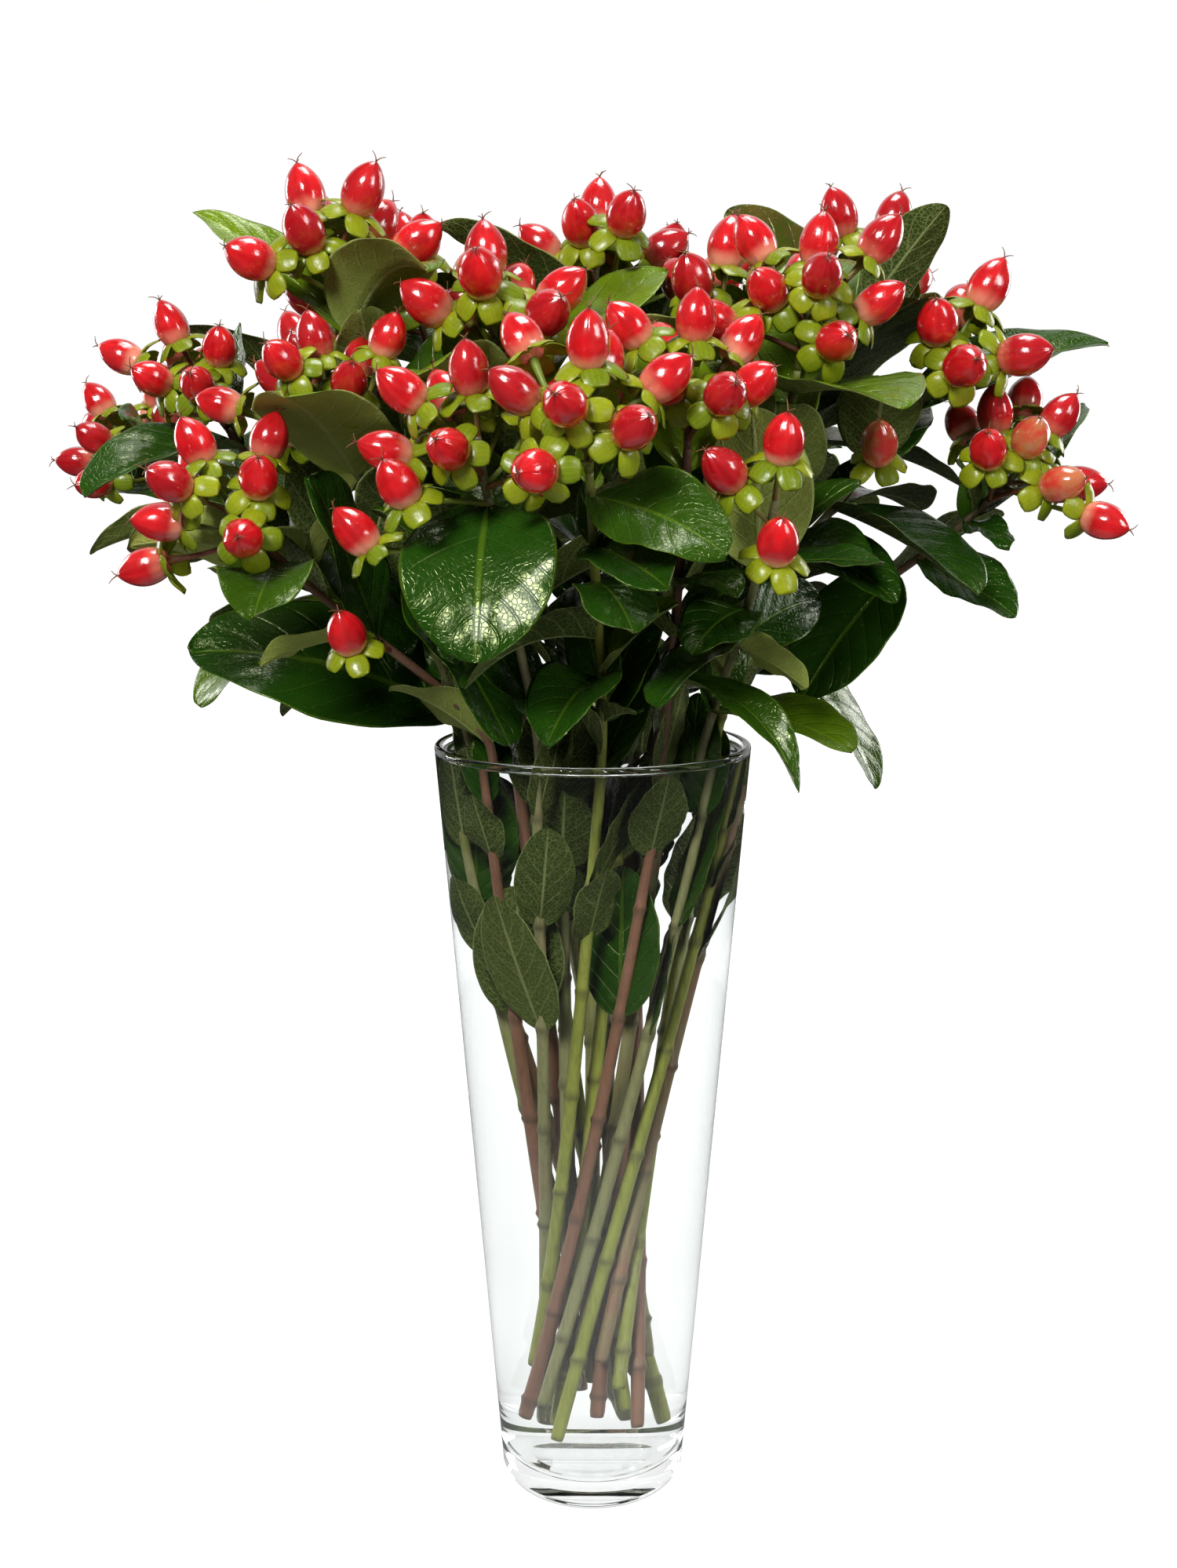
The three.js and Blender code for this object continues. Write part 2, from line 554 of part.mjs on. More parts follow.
// The straight hole that a stem stands in, from under its foot to above the water.
function holeSolid(line, level) {
  const { point, direction } = stemAt(line, line.footDown - 1);
  const radius = (STEM_FOOT_RADIUS + HOLE_GAP) / Math.cos(Math.PI / STEM_SIDES / 2);
  const low = point.clone().addScaledVector(direction, -2);
  const high = point.clone().addScaledVector(direction, (level + 4 - point.z) / direction.z);
  return skin([ring(low, direction, STEM_SIDES, radius), ring(high, direction, STEM_SIDES, radius)]);
}

// One fruit: its pedicel, a calyx of five sepals and the pointed berry, in a single skin.
function fruitSolid({ root, calyx, aim, size }) {
  const radius = BERRY_RADIUS * size;
  const height = BERRY_HEIGHT * size;
  const along = (distance) => calyx.clone().addScaledVector(aim, distance);
  const sepals = [];
  for (let i = 0; i < 5; i++) {
    const lobe = around(aim, 72 * i);
    const notch = around(aim, 72 * i + 36);
    sepals.push(along(SEPAL_DROP * size).addScaledVector(lobe, SEPAL_LENGTH * size));
    sepals.push(along(-0.2).addScaledVector(notch, SEPAL_LENGTH * size * 0.5));
  }
  return skin([
    ring(root, aim, 3, PEDICEL_RADIUS * 1.2),
    ring(along(-0.9), aim, 3, PEDICEL_RADIUS * 1.6),
    { points: sepals, turn: 0 },
    ring(along(height * 0.05), aim, 5, radius * 0.55, 36),
    ring(along(height * 0.4), aim, 5, radius * 1.08, 36),
    ring(along(height * 0.74), aim, 5, radius * 0.8, 0),
    { points: [along(height * 1.06)], turn: 0 },
  ]);
}

// How far along its rib a leaf is cut across: more often in the key leaves.
const KEY_CUTS = [0.14, 0.36, 0.62, 0.85];
const PLAIN_CUTS = [0.18, 0.47, 0.79];

// One leaf blade, thickest at its rib and thin at its edge. grow makes it larger all over.
function leafSolid(place, grow = 0) {
  const points = [leafPoint(place, 0, 0), leafPoint(place, 1, 0, grow)];
  const thick = LEAF_THICKNESS / 2 + grow;
  const cuts = place.key ? KEY_CUTS : PLAIN_CUTS;
  for (const t of cuts) {
    const top = place.frames[Math.round(t * RIB_STEPS)].top;
    const mid = leafPoint(place, t, 0);
    points.push(
      leafPoint(place, t, 1, grow * 2),
      leafPoint(place, t, -1, grow * 2),
      mid.clone().addScaledVector(top, thick),
      mid.clone().addScaledVector(top, -thick),
    );
  }
  const triangles = [];
  const face = (rib, flip) => {
    const put = (a, b, c) => triangles.push(flip ? [a, c, b] : [a, b, c]);
    cuts.forEach((_, k) => {
      const left = 2 + 4 * k;
      const right = left + 1;
      const mid = left + rib;
      if (k === 0) {
        put(0, mid, left);
        put(0, right, mid);
      }
      if (k === cuts.length - 1) {
        put(mid, 1, left);
        put(mid, right, 1);
      } else {
        put(mid, mid + 4, left + 4);
        put(mid, left + 4, left);
        put(mid, right, right + 4);
        put(mid, right + 4, mid + 4);
      }
    });
  };
  face(2, false);
  face(3, true);
  return solidFrom(points, triangles);
}

// A solid of revolution about Z from a profile of radius and height that starts and ends on it.
function turned(profile, sides) {
  const geometry = new THREE.LatheGeometry(profile.map(([r, z]) => new THREE.Vector2(r, z)), sides);
  geometry.rotateX(Math.PI / 2);
  const position = geometry.getAttribute("position");
  const points = [];
  const found = new Map();
  const index = Array.from({ length: position.count }, (_, i) => {
    const p = new THREE.Vector3().fromBufferAttribute(position, i);
    const key = [p.x, p.y, p.z].map((v) => Math.round(v * 1000)).join();
    if (!found.has(key)) {
      found.set(key, points.length);
      points.push(p);
    }
    return found.get(key);
  });
  const triangles = [];
  for (let i = 0; i < geometry.index.count; i += 3) {
    const [a, b, c] = [0, 1, 2].map((k) => index[geometry.index.getX(i + k)]);
    if (a !== b && b !== c && c !== a) triangles.push([a, b, c]);
  }
  const made = solidFrom(points, triangles);
  return made.volume() > 0 ? made : solidFrom(points, triangles.map((t) => t.reverse()));
}

function vaseSolid() {
  const inner = (z) => wallRadius(z) - VASE_WALL;
  const beadTop = VASE_HEIGHT - RIM_BEAD;
  const profile = [
    [0, 0],
    [VASE_FOOT_RADIUS - VASE_EDGE, 0],
    [VASE_FOOT_RADIUS - VASE_EDGE * 0.3, VASE_EDGE * 0.3],
    [wallRadius(VASE_EDGE), VASE_EDGE],
    [wallRadius(beadTop), beadTop],
    [VASE_TOP_RADIUS + RIM_PROUD, VASE_HEIGHT - RIM_BEAD * 0.6],
    [VASE_TOP_RADIUS + RIM_PROUD * 0.6, VASE_HEIGHT - 0.6],
    [VASE_TOP_RADIUS - VASE_WALL / 2, VASE_HEIGHT],
    [inner(VASE_HEIGHT) - 0.1, VASE_HEIGHT - 1],
    [inner(VASE_FLOOR + 6), VASE_FLOOR + 6],
    [inner(VASE_FLOOR) - 4, VASE_FLOOR + 1],
    [0, VASE_FLOOR],
  ];
  return turned(profile, VASE_SIDES);
}

function waterSolid(stems) {
  const level = VASE_HEIGHT - WATER_DEPTH_BELOW_RIM;
  const edge = (z) => (wallRadius(z) - VASE_WALL) * Math.cos(Math.PI / VASE_SIDES) - SEAT;
  let water = turned(
    [
      [0, VASE_FLOOR + SEAT],
      [edge(VASE_FLOOR) - 4, VASE_FLOOR + 1 + SEAT],
      [edge(VASE_FLOOR + 6), VASE_FLOOR + 6 + SEAT],
      [edge(level), level],
      [0, level],
    ],
    VASE_SIDES,
  );
  for (const { line, leaves } of stems) {
    water = water.subtract(holeSolid(line, level));
    for (const leaf of leaves) {
      if (leafBalls(leaf).some(({ at }) => at.z < level + 3)) {
        water = water.subtract(leafSolid(leaf, HOLE_GAP));
      }
    }
  }
  return largest(water);
}

function largest(solid) {
  const bodies = solid.decompose();
  return bodies.reduce((a, b) => (a.volume() > b.volume() ? a : b));
}

// ---------------------------------------------------------------- the scene graph
const material = (color, roughness, extra = {}) =>
  new THREE.MeshStandardMaterial({ color, roughness, metalness: 0, ...extra });
const GLASS = material(0xeef5f2, 0.05, { transparent: true, opacity: 0.35 });
const WATER = material(0xdfeeea, 0.02, { transparent: true, opacity: 0.35 });
const LEAF = material(0x2c5a1c, 0.35);
const BERRY = material(0xc8131b, 0.2);

const bouquet = new THREE.Group();

function addMesh(name, solid, look) {
  const { numProp, numVert, vertProperties, triVerts } = solid.getMesh();
  const positions = new Float32Array(numVert * 3);
  for (let i = 0; i < numVert; i++) {
    positions.set(vertProperties.subarray(i * numProp, i * numProp + 3), i * 3);
  }
  const geometry = new THREE.BufferGeometry();
  geometry.setAttribute("position", new THREE.BufferAttribute(positions, 3));
  geometry.setIndex(new THREE.BufferAttribute(triVerts, 1));
  geometry.computeVertexNormals();
  const mesh = new THREE.Mesh(geometry, look);
  mesh.name = name;
  bouquet.add(mesh);
}

const joined = (solids) => solids.reduce((a, b) => a.add(b));

const stems = plant();
addMesh("vase", vaseSolid(), GLASS);
addMesh("water", waterSolid(stems), WATER);
stems.forEach(({ line, leaves, fruits }, i) => {
  const number = String(i + 1).padStart(2, "0");
  const wood = woodSolid(line, SPRAY_LENGTH, line.footDown);
  addMesh(`stem_${number}`, joined([wood, ...leaves.map((leaf) => leafSolid(leaf))]), LEAF);
  const top = woodSolid(line, 0, SPRAY_LENGTH - SEAT);
  addMesh(`berries_${number}`, joined([top, ...fruits.map(fruitSolid)]), BERRY);
});

export default bouquet;
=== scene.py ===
"""A bunch of berried hypericum stems in a tapered glass vase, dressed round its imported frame.

The plants are set out by the same rules and the same numbers as the solids. Lengths of the plants
and the vase are in millimetres, with +Z up: metres come in where a mesh is made, and in the set.
Each stem, leaf and fruit of the frame gets its fine form, and what the solids leave out is added.
"""
import math

import bpy
import numpy as np
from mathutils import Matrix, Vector


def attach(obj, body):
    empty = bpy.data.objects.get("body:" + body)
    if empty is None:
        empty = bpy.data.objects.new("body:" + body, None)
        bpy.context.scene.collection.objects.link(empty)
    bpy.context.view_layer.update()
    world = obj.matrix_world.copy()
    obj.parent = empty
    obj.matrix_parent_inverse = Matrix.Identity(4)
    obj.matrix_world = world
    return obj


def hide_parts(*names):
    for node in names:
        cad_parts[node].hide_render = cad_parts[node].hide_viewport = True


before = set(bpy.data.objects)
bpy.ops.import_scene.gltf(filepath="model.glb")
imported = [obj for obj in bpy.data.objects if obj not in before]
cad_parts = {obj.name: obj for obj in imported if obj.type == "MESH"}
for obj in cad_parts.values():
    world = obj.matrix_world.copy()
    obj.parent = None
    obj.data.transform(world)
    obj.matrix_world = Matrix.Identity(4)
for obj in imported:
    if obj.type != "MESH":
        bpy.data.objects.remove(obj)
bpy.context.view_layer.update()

MM = 0.001

# ------------------------------------------------------------ the solids' driving dimensions
VASE_HEIGHT = 300
VASE_TOP_RADIUS = 60
VASE_FOOT_RADIUS = 36
VASE_WALL = 3
VASE_FLOOR = 10
WATER_LEVEL = 296

STEM_FOOT_RADIUS = 2.2
STEM_TIP_RADIUS = 1.2
BUNDLE_FOOT = 24
BUNDLE_MOUTH = 50
BUNDLE_TWIST = -128
RINGS = [0, 0.46, 0.93]
RING_SLOTS = [1, 7, 13]
RING_START = [0, 38, 52]
STEM_LIFT = 0.3
STEM_START = 0.5
STEM_END = 0.9

BERRY_RADIUS = 6.8
BERRY_HEIGHT = 16.8
SEPAL_LENGTH = 9
SEPAL_DROP = -1.6
PEDICEL_RADIUS = 0.9
SPRAY_LENGTH = 21

LEAF_LENGTH = 70
LEAF_HALF_WIDTH = 0.3
FIRST_PAIR = 29
PAIR_STEP = 43
DRY_PAIRS = 4
WET_LEAF_LENGTH = 58
LOWEST_LEAF = 172
WET_BELOW = VASE_HEIGHT + 12  # leaves from lower nodes stand in the vase
FIRST_STRIPPED = 268
LEAF_CLEAR = 2.3

# One row for each stem: ring, slot, tip of the spray, height of the foot, turn of the first pair,
# number of fruits.
STEMS = [
    (0, 0, (1, 2, 474), 44, 20, 3),
    (1, 0, (107, 30, 476), 32, 75, 3),
    (1, 1, (26, 72, 468), 50, 10, 3),
    (1, 2, (-68, 34, 467), 30, 50, 3),
    (1, 3, (-95, -18, 476), 56, 100, 3),
    (1, 4, (-34, -54, 452), 38, 35, 3),
    (1, 5, (43, -38, 456), 24, 80, 3),
    (1, 6, (129, -20, 446), 52, 15, 3),
    (2, 0, (88, 122, 436), 46, 60, 4),
    (2, 1, (2, 142, 430), 28, 30, 4),
    (2, 2, (-116, 94, 438), 54, 85, 4),
    (2, 3, (-186, 56, 412), 22, 15, 4),
    (2, 4, (-143, -10, 434), 42, 65, 4),
    (2, 5, (-88, -56, 426), 20, 110, 4),
    (2, 6, (-117, -92, 393), 34, 40, 4),
    (2, 7, (-35, -119, 412), 18, 90, 4),
    (2, 8, (-2, -143, 419), 48, 25, 4),
    (2, 9, (30, -104, 428), 26, 70, 4),
    (2, 10, (55, -118, 393), 36, 120, 2),
    (2, 11, (70, -66, 454), 24, 55, 4),
    (2, 12, (154, -20, 404), 58, 5, 4),
]

# Each fruit of a spray: how far below the tip, which way round, its tilt, and its pedicel.
FRUITS = [(1, 0, 3, 13), (9, 40, 46, 17), (13, 165, 50, 20), (17, 285, 50, 23)]
# Fruits that only this dressing has.
MORE_FRUITS = [
    (5, 100, 34, 15), (7, 225, 38, 15), (11, 345, 62, 21), (15, 110, 66, 23), (18, 225, 68, 26),
    (20, 20, 74, 28),
]

# Single fruits on side shoots, low among the leaves: stem, down, calyx, how ripe.
SIDE_FRUITS = [
    (19, 24, (54, -130, 375), 1.0),
    (16, 24, (-54, -130, 392), 1.0),
    (16, 40, (-68, -110, 377), 1.0),
    (15, 80, (-78, -90, 344), 1.0),
    (8, 48, (97, -50, 404), 0.6),
]

# Leaves that only this dressing has: their kind, and how many pairs below the first they grow, or
# for the small ones under the fruits how far below the tip.
MORE_LEAVES = [
    ("dry", 0.5), ("dry", 1.5), ("dry", 2.5), ("wet", 2.6), ("wet", 3.0), ("wet", 3.5),
    ("wet", 4.0), ("wet", 4.5), ("wet", 5.0), ("spray", 19), ("spray", 24), ("dry", 1.0),
    ("dry", 2.0), ("wet", 3.25), ("wet", 3.75), ("dry", 2.25), ("dry", 2.75),
]
# The least and the most spread from the stem in degrees, and the least and the most length.
LEAF_KINDS = {"dry": (40, 80, 40, 66), "wet": (8, 18, 42, 66), "spray": (45, 80, 18, 34)}
FILL_CLEAR = 0.9  # these keep less space round them
DEEPEST_LEAF, BARE_END = 165, 40  # none grows below this height, nor this near a cut end
FRONT, CLEAR_FRONT = -70, 318  # this far forward none of them is set below this height
LOW_LEAVES = 375  # below this height the added leaves are kept dark: partly as older leaves, partly as painted shade deep in the bunch

# The leaves that give the bunch its face: stem, pair, side, down, tip, width, roll, fold, bend.
KEY_LEAVES = [
    (16, 0, 0, 24, (-21, -138, 347), 1.45, 0, 8, 1.6),
    (17, 0, 0, 30, (38, -152, 378), 1, 45, 10, 0.5),
    (18, 2, 0, 98, (92, -82, 390), 0.75, 30, 14, 0.4),
    (15, 1, 0, 74, (-91, -86, 400), 1.05, -70, 10, 0.3),
    (14, 0, 0, 29, (-96, -100, 424), 1.3, 0, 8, 0.5),
    (2, 1, 0, 58, (127, -36, 449), 1.2, 0, 10, 0.5),
    (21, 0, 0, 29, (138, -38, 383), 0.9, 20, 12, 0.4),
    (21, 0, 1, 29, (177, 30, 439), 0.6, 20, 12, 0.4),
    (13, 1, 0, 74, (-71, -40, 331), 1.25, -30, 10, 0.6),
    (14, 2, 0, 128, (-139, -18, 359), 0.9, -45, 10, 0.5),
    (16, 2, 0, 115, (-51, -72, 366), 1, -60, 14, 0.3),
    (14, 1, 0, 74, (-32, -66, 312), 1, 0, 12, 0.6),
    (15, 3, 0, 136, (-68, -54, 326), 0.9, 20, 16, 0.5),
    (18, 2, 1, 112, (68, -88, 297), 0.42, 20, 30, 1.6),
    (20, 1, 0, 72, (60, -66, 424), 1.4, 0, 8, 0.7),
    (17, 1, 0, 66, (12, -126, 353), 1.5, 0, 6, 0.9),
    (17, 2, 0, 150, (-23, -76, 345), 0.9, -30, 12, 0.4),
    (15, 0, 0, 29, (-93, -126, 366), 1.1, 0, 14, 0.6),
    (15, 0, 1, 29, (-154, -82, 370), 0.8, 60, 30, 0.5),
    (14, 0, 1, 29, (-88, -62, 369), 0.64, 60, 14, 0.6),
    (15, 1, 1, 70, (-104, -88, 346), 0.7, 30, 24, 0.5),
    (12, 0, 0, 29, (-211, 62, 404), 1, -35, 14, 0.4),
    (12, 0, 1, 29, (-172, 4, 420), 1, -40, 16, 0.4),
    (12, 1, 0, 50, (-197, 30, 382), 0.8, 30, 25, 0.5),
    (12, 1, 1, 62, (-178, 18, 372), 1, 60, 12, 0.5),
    (13, 0, 0, 29, (-128, 0, 454), 0.9, -60, 14, 0.3),
    (5, 0, 0, 29, (-143, -2, 492), 0.6, -30, 22, 0.3),
    (5, 1, 0, 72, (-67, -62, 428), 0.6, 60, 30, 0.3),
    (11, 0, 0, 29, (-152, 62, 472), 0.8, 10, 16, 0.4),
    (2, 0, 0, 29, (127, 0, 495), 0.7, -40, 16, 0.2),
    (2, 0, 1, 29, (58, 0, 496), 1, -50, 12, 0.3),
    (3, 0, 0, 29, (32, 8, 474), 0.9, 0, 14, 0.4),
    (7, 0, 1, 29, (4, -78, 444), 0.9, 30, 16, 0.5),
    (8, 0, 0, 29, (190, 8, 447), 0.75, 20, 20, 0.4),
    (17, 0, 1, 29, (12, -104, 411), 0.6, 30, 20, 0.3),
    (17, 2, 1, 112, (27, -100, 360), 0.6, 60, 36, 0.4),
    (19, 0, 0, 29, (49, -100, 421), 1.2, 60, 10, 0.6),
    (21, 1, 0, 72, (157, 20, 384), 0.8, -35, 12, 0.4),
    (21, 1, 1, 60, (77, -16, 318), 1, -45, 14, 0.5),
    (21, 2, 0, 115, (120, 30, 350), 0.7, -30, 16, 0.4),
    (19, 1, 0, 72, (64, -85, 327), 0.9, -60, 20, 0.4),
    (19, 0, 1, 29, (76, -75, 394), 0.7, 20, 16, 0.4),
    (19, 1, 1, 72, (82, -20, 355), 0.7, 60, 16, 0.4),
]

# Where the seeded draws of each kind of part start.
STEM_SEED, FRUIT_SEED, MORE_SEED = 700, 1000, 3000
LEAF_SEED, KEY_SEED, SIDE_SEED = 5000, 9000, 15000


# ------------------------------------------------------------ small helpers
def vec(*v):
    return np.array(v, float)


UP = vec(0, 0, 1)


def mix(a, b, t):
    return a + (b - a) * t


def length_of(v):
    return math.sqrt(v[0] * v[0] + v[1] * v[1] + v[2] * v[2])


def unit(v):
    return v / length_of(v)


def units(v):
    return v / np.maximum(np.linalg.norm(v, axis=-1, keepdims=True), 1e-12)


def cross(a, b):
    return np.stack(
        [
            a[..., 1] * b[..., 2] - a[..., 2] * b[..., 1],
            a[..., 2] * b[..., 0] - a[..., 0] * b[..., 2],
            a[..., 0] * b[..., 1] - a[..., 1] * b[..., 0],
        ],
        axis=-1,
    )


def draws(seed):
    """A seeded draw: each call gives the next number from 0 to 1."""
    state = seed

    def draw():
        nonlocal state
        state = (state * 1664525 + 1013904223) % 4294967296
        return state / 4294967296

    return draw


def own_draws(place, offset=0):
    """The draws of one leaf or fruit for its fine form."""
    return draws(int(place["seed"] * 1e6) + offset)


def circle(sides):
    return np.arange(sides) * (2 * math.pi / sides)


def around(direction, degrees):
    """The unit vector square to direction that points round it by the given angle."""
    first = unit(vec(1, 0, 0) - direction * direction[0])
    second = cross(direction, first)
    angle = math.radians(degrees)
    return first * math.cos(angle) + second * math.sin(angle)


def spun(v, q, w):
    """A vector turned by the quaternion of vector part q and number w."""
    t = 2 * cross(q, v)
    return v + w * t + cross(q, t)


def turned(v, axis, degrees):
    half = math.radians(degrees) / 2
    return spun(v, axis * math.sin(half), math.cos(half))


def tip_from(node, grows, way, spread, length):
    """The point that lies a length away, spread by an angle from the way a stem grows."""
    return node + grows * (length * math.cos(spread)) + way * (length * math.sin(spread))


# ------------------------------------------------------------ the lines of the stems
CURVE_STEPS = 24


def bundle_point(row, radius, twist, z):
    ring, slot = row[:2]
    angle = math.radians(RING_START[ring] + (360 / RING_SLOTS[ring]) * slot + twist)
    r = RINGS[ring] * radius
    return vec(r * math.cos(angle), r * math.sin(angle), z)


class Line:
    """The line of a stem from its tip down to its cut foot."""

    def __init__(self, row):
        floor = bundle_point(row, BUNDLE_FOOT, BUNDLE_TWIST, VASE_FLOOR)
        mouth = bundle_point(row, BUNDLE_MOUTH, 0, VASE_HEIGHT)
        tip = vec(*row[2])
        chord = tip - mouth
        length = length_of(chord)
        start = unit(mouth - floor) * (length * STEM_START)
        end = unit(unit(chord) * (1 - STEM_LIFT) + UP * STEM_LIFT) * (length * STEM_END)
        points = []
        for step in range(CURVE_STEPS, -1, -1):
            t = step / CURVE_STEPS
            s = 1 - t
            points.append(
                mouth * ((1 + 2 * t) * s * s)
                + start * (t * s * s)
                + tip * (t * t * (3 - 2 * t))
                + end * (-t * t * s)
            )
        share = (row[3] - VASE_FLOOR) / (VASE_HEIGHT - VASE_FLOOR)
        points.append(mix(floor, mouth, share))
        self.points = points
        self.down = [0.0]
        for a, b in zip(points, points[1:]):
            self.down.append(self.down[-1] + length_of(b - a))
        self.foot_down = self.down[CURVE_STEPS + 1]

    def at(self, distance):
        """Where the stem is at a distance below its tip, and the way it grows there."""
        i = 1
        while i < len(self.points) - 1 and self.down[i] < distance:
            i += 1
        share = (distance - self.down[i - 1]) / (self.down[i] - self.down[i - 1])
        point = mix(self.points[i - 1], self.points[i], share)
        return point, unit(self.points[i - 1] - self.points[i])

    def radius(self, distance):
        share = np.power(np.maximum(distance, 0) / self.foot_down, 0.7)
        return mix(STEM_TIP_RADIUS, STEM_FOOT_RADIUS, share)


# ------------------------------------------------------------ keeping things clear
class Cluster:
    """A placed thing as small balls, with one large ball round them all."""

    def __init__(self, at, radius, stem, kind):
        self.at, self.radius, self.stem, self.kind = at, radius, stem, kind
        self.middle = at[len(at) // 2]
        self.reach = float((np.linalg.norm(at - self.middle, axis=1) + radius).max())


placed = []
MOST = 4000  # room for this many placed clusters
middles, reaches = np.zeros((MOST, 3)), np.zeros(MOST)
owners, skipped = np.zeros(MOST, int), np.zeros(MOST, int)
ALL_SKIP, FRUIT_SKIPS, NONE_SKIPS = 2, 1, 0


def remember(one):
    k = len(placed)
    placed.append(one)
    middles[k], reaches[k], owners[k] = one.middle, one.reach, one.stem
    skipped[k] = {"wood": ALL_SKIP, "top": FRUIT_SKIPS}.get(one.kind, NONE_SKIPS)


def crosses(mine):
    """True where it meets something placed, other than the wood that it grows on."""
    n = len(placed)
    level = FRUIT_SKIPS if mine.kind == "fruit" else ALL_SKIP
    skip = (owners[:n] == mine.stem) & (skipped[:n] >= level)
    close = np.linalg.norm(middles[:n] - mine.middle, axis=1) <= reaches[:n] + mine.reach
    for k in np.flatnonzero(close & ~skip):
        other = placed[k]
        near = np.linalg.norm(mine.at - other.middle, axis=1) < mine.radius + other.reach
        if not near.any():
            continue
        gap = mine.at[near][:, None] - other.at[None]
        if ((gap * gap).sum(-1) < (mine.radius[near][:, None] + other.radius[None]) ** 2).any():
            return True
    return False


def wall_radius(z):
    return mix(VASE_FOOT_RADIUS, VASE_TOP_RADIUS, z / VASE_HEIGHT)


def meets_vase(at, radius):
    """True where a ball touches the vase's wall or reaches below its floor."""
    z = at[:, 2]
    below = z <= VASE_HEIGHT + radius + 1
    low = z < VASE_FLOOR + radius + 2
    out = np.hypot(at[:, 0], at[:, 1])
    outer = wall_radius(np.minimum(z, VASE_HEIGHT))
    wall = (out + radius + 1 > outer - VASE_WALL) & (out - radius - 1.5 < outer)
    return bool((below & (low | wall)).any())


# ------------------------------------------------------------ where fruits stand
FRUIT_TWEAKS = [
    (length, tilt, turn)
    for length in (1, 1.25, 0.8, 1.5)
    for tilt in (0, -14, 12, -26)
    for turn in (0, 22, -22, 44, -44)
]


def fruit_place(line, fruit, turn, size, tweak):
    down, way, tilt, pedicel = fruit
    root, direction = line.at(down)
    tilt = math.radians(max(0, tilt + tweak[1]))
    aim = direction * math.cos(tilt) + around(direction, turn + way + tweak[2]) * math.sin(tilt)
    aim = unit(aim + UP * 0.12)
    return {
        "root": root, "calyx": root + aim * (pedicel * tweak[0]), "aim": aim, "size": size,
        "grows": direction,
    }


def fruit_balls(place):
    radius = BERRY_RADIUS * place["size"]
    height = BERRY_HEIGHT * place["size"]
    calyx, aim = place["calyx"], place["aim"]
    at = [calyx + aim * (height * 0.36), calyx + aim * (height * 0.68), calyx]
    radii = [radius + 0.5, radius * 0.8 + 0.5, 4]
    for i in range(5):
        sepal = calyx + aim * (SEPAL_DROP * place["size"])
        at.append(sepal + around(aim, 72 * i) * (SEPAL_LENGTH * place["size"]))
        radii.append(1.4)
    steps = int(length_of(calyx - place["root"]) / 4)
    for i in range(1, steps):
        at.append(mix(place["root"], calyx, i / steps))
        radii.append(1.2)
    return np.array(at), np.array(radii)


# ------------------------------------------------------------ where leaves stand
RIB_STEPS = 20
LEAF_TWEAKS = [
    (length, lift, turn)
    for length in (1, 0.86, 0.72, 0.6)
    for lift in (0, 14, -14)
    for turn in (0, 16, -16, 32, -32, 48, -48)
]
FILL_TWEAKS = [(length, 0, turn) for length in (1, 0.8, 0.6) for turn in (0, 30, -30, 60, -60)]
PROBE_ACROSS = vec(-1, -0.75, -0.5, -0.25, 0, 0.25, 0.5, 0.75, 1)
PROBE_STEPS = 15
PROBE_ALONG = np.arange(2, PROBE_STEPS) / PROBE_STEPS
RIB_T = np.arange(RIB_STEPS + 1) / RIB_STEPS


def leaf_shape(t):
    return 2.245 * np.power(t, 0.55) * np.power(1 - t, 0.62)


def leaf_place(line, leaf, tweak):
    """The rib of a leaf as frames: points, the ways to its left and its upper sides."""
    node, grows = line.at(leaf["down"])
    chord = turned(leaf["tip"] - node, grows, tweak[2])
    chord = turned(chord, unit(cross(chord, UP)), tweak[1]) * tweak[0]
    length = length_of(chord)
    aim = unit(chord)
    bend = leaf["bend"]
    first = unit(aim + UP * (bend * 0.45))
    side = turned(unit(cross(UP, aim)), aim, leaf["roll"])
    ways = units(first - UP * (bend * np.power(RIB_T, 1.3))[:, None])
    rib = np.vstack([np.zeros((1, 3)), np.cumsum(ways[:-1] * (length / RIB_STEPS), axis=0)])
    end = rib[RIB_STEPS]
    stretch = length / length_of(end)
    start = unit(end)
    q = cross(start, aim)
    w = 1 + float(start @ aim)
    size = math.sqrt(float(q @ q) + w * w)
    q, w = q / size, w / size
    ways = spun(ways, q, w)
    left = units(side - ways * (ways @ side)[:, None])
    return {
        **leaf, "length": length, "left": left, "top": cross(ways, left),
        "points": spun(rib, q, w) * stretch + node,
    }


def leaf_points(place, t, across):
    """Points of a leaf: t along its rib, across from -1 at the right edge to 1 at the left."""
    step = np.minimum(t * RIB_STEPS, RIB_STEPS - 1e-9)
    i = np.floor(step).astype(int)
    share = (step - i)[:, None]
    frames = (place[key] for key in ("points", "left", "top"))
    point, left, top = (mix(rows[i], rows[i + 1], share) for rows in frames)
    half = place["length"] * LEAF_HALF_WIDTH * place["width"] * leaf_shape(t)
    fold = math.radians(place["fold"])
    reach = half[:, None] * np.abs(across)[None]
    swing = np.sin(2 * math.pi * (1.5 * t + place["phase"])[:, None] + across[None])
    wave = place["wave"] * swing * (across * across)[None]
    sideways = (np.sign(across)[None] * reach * math.cos(fold))[..., None]
    raised = (reach * math.sin(fold) + wave)[..., None]
    return point[:, None] + left[:, None] * sideways + top[:, None] * raised


def leaf_balls(place):
    at = leaf_points(place, PROBE_ALONG, PROBE_ACROSS).reshape(-1, 3)
    return at, np.full(len(at), place.get("clear", LEAF_CLEAR))


# ------------------------------------------------------------ planting
KINDS = {
    "fruit": (FRUIT_TWEAKS, fruit_balls),
    "leaf": (LEAF_TWEAKS, leaf_balls),
    "fill": (FILL_TWEAKS, leaf_balls),
}


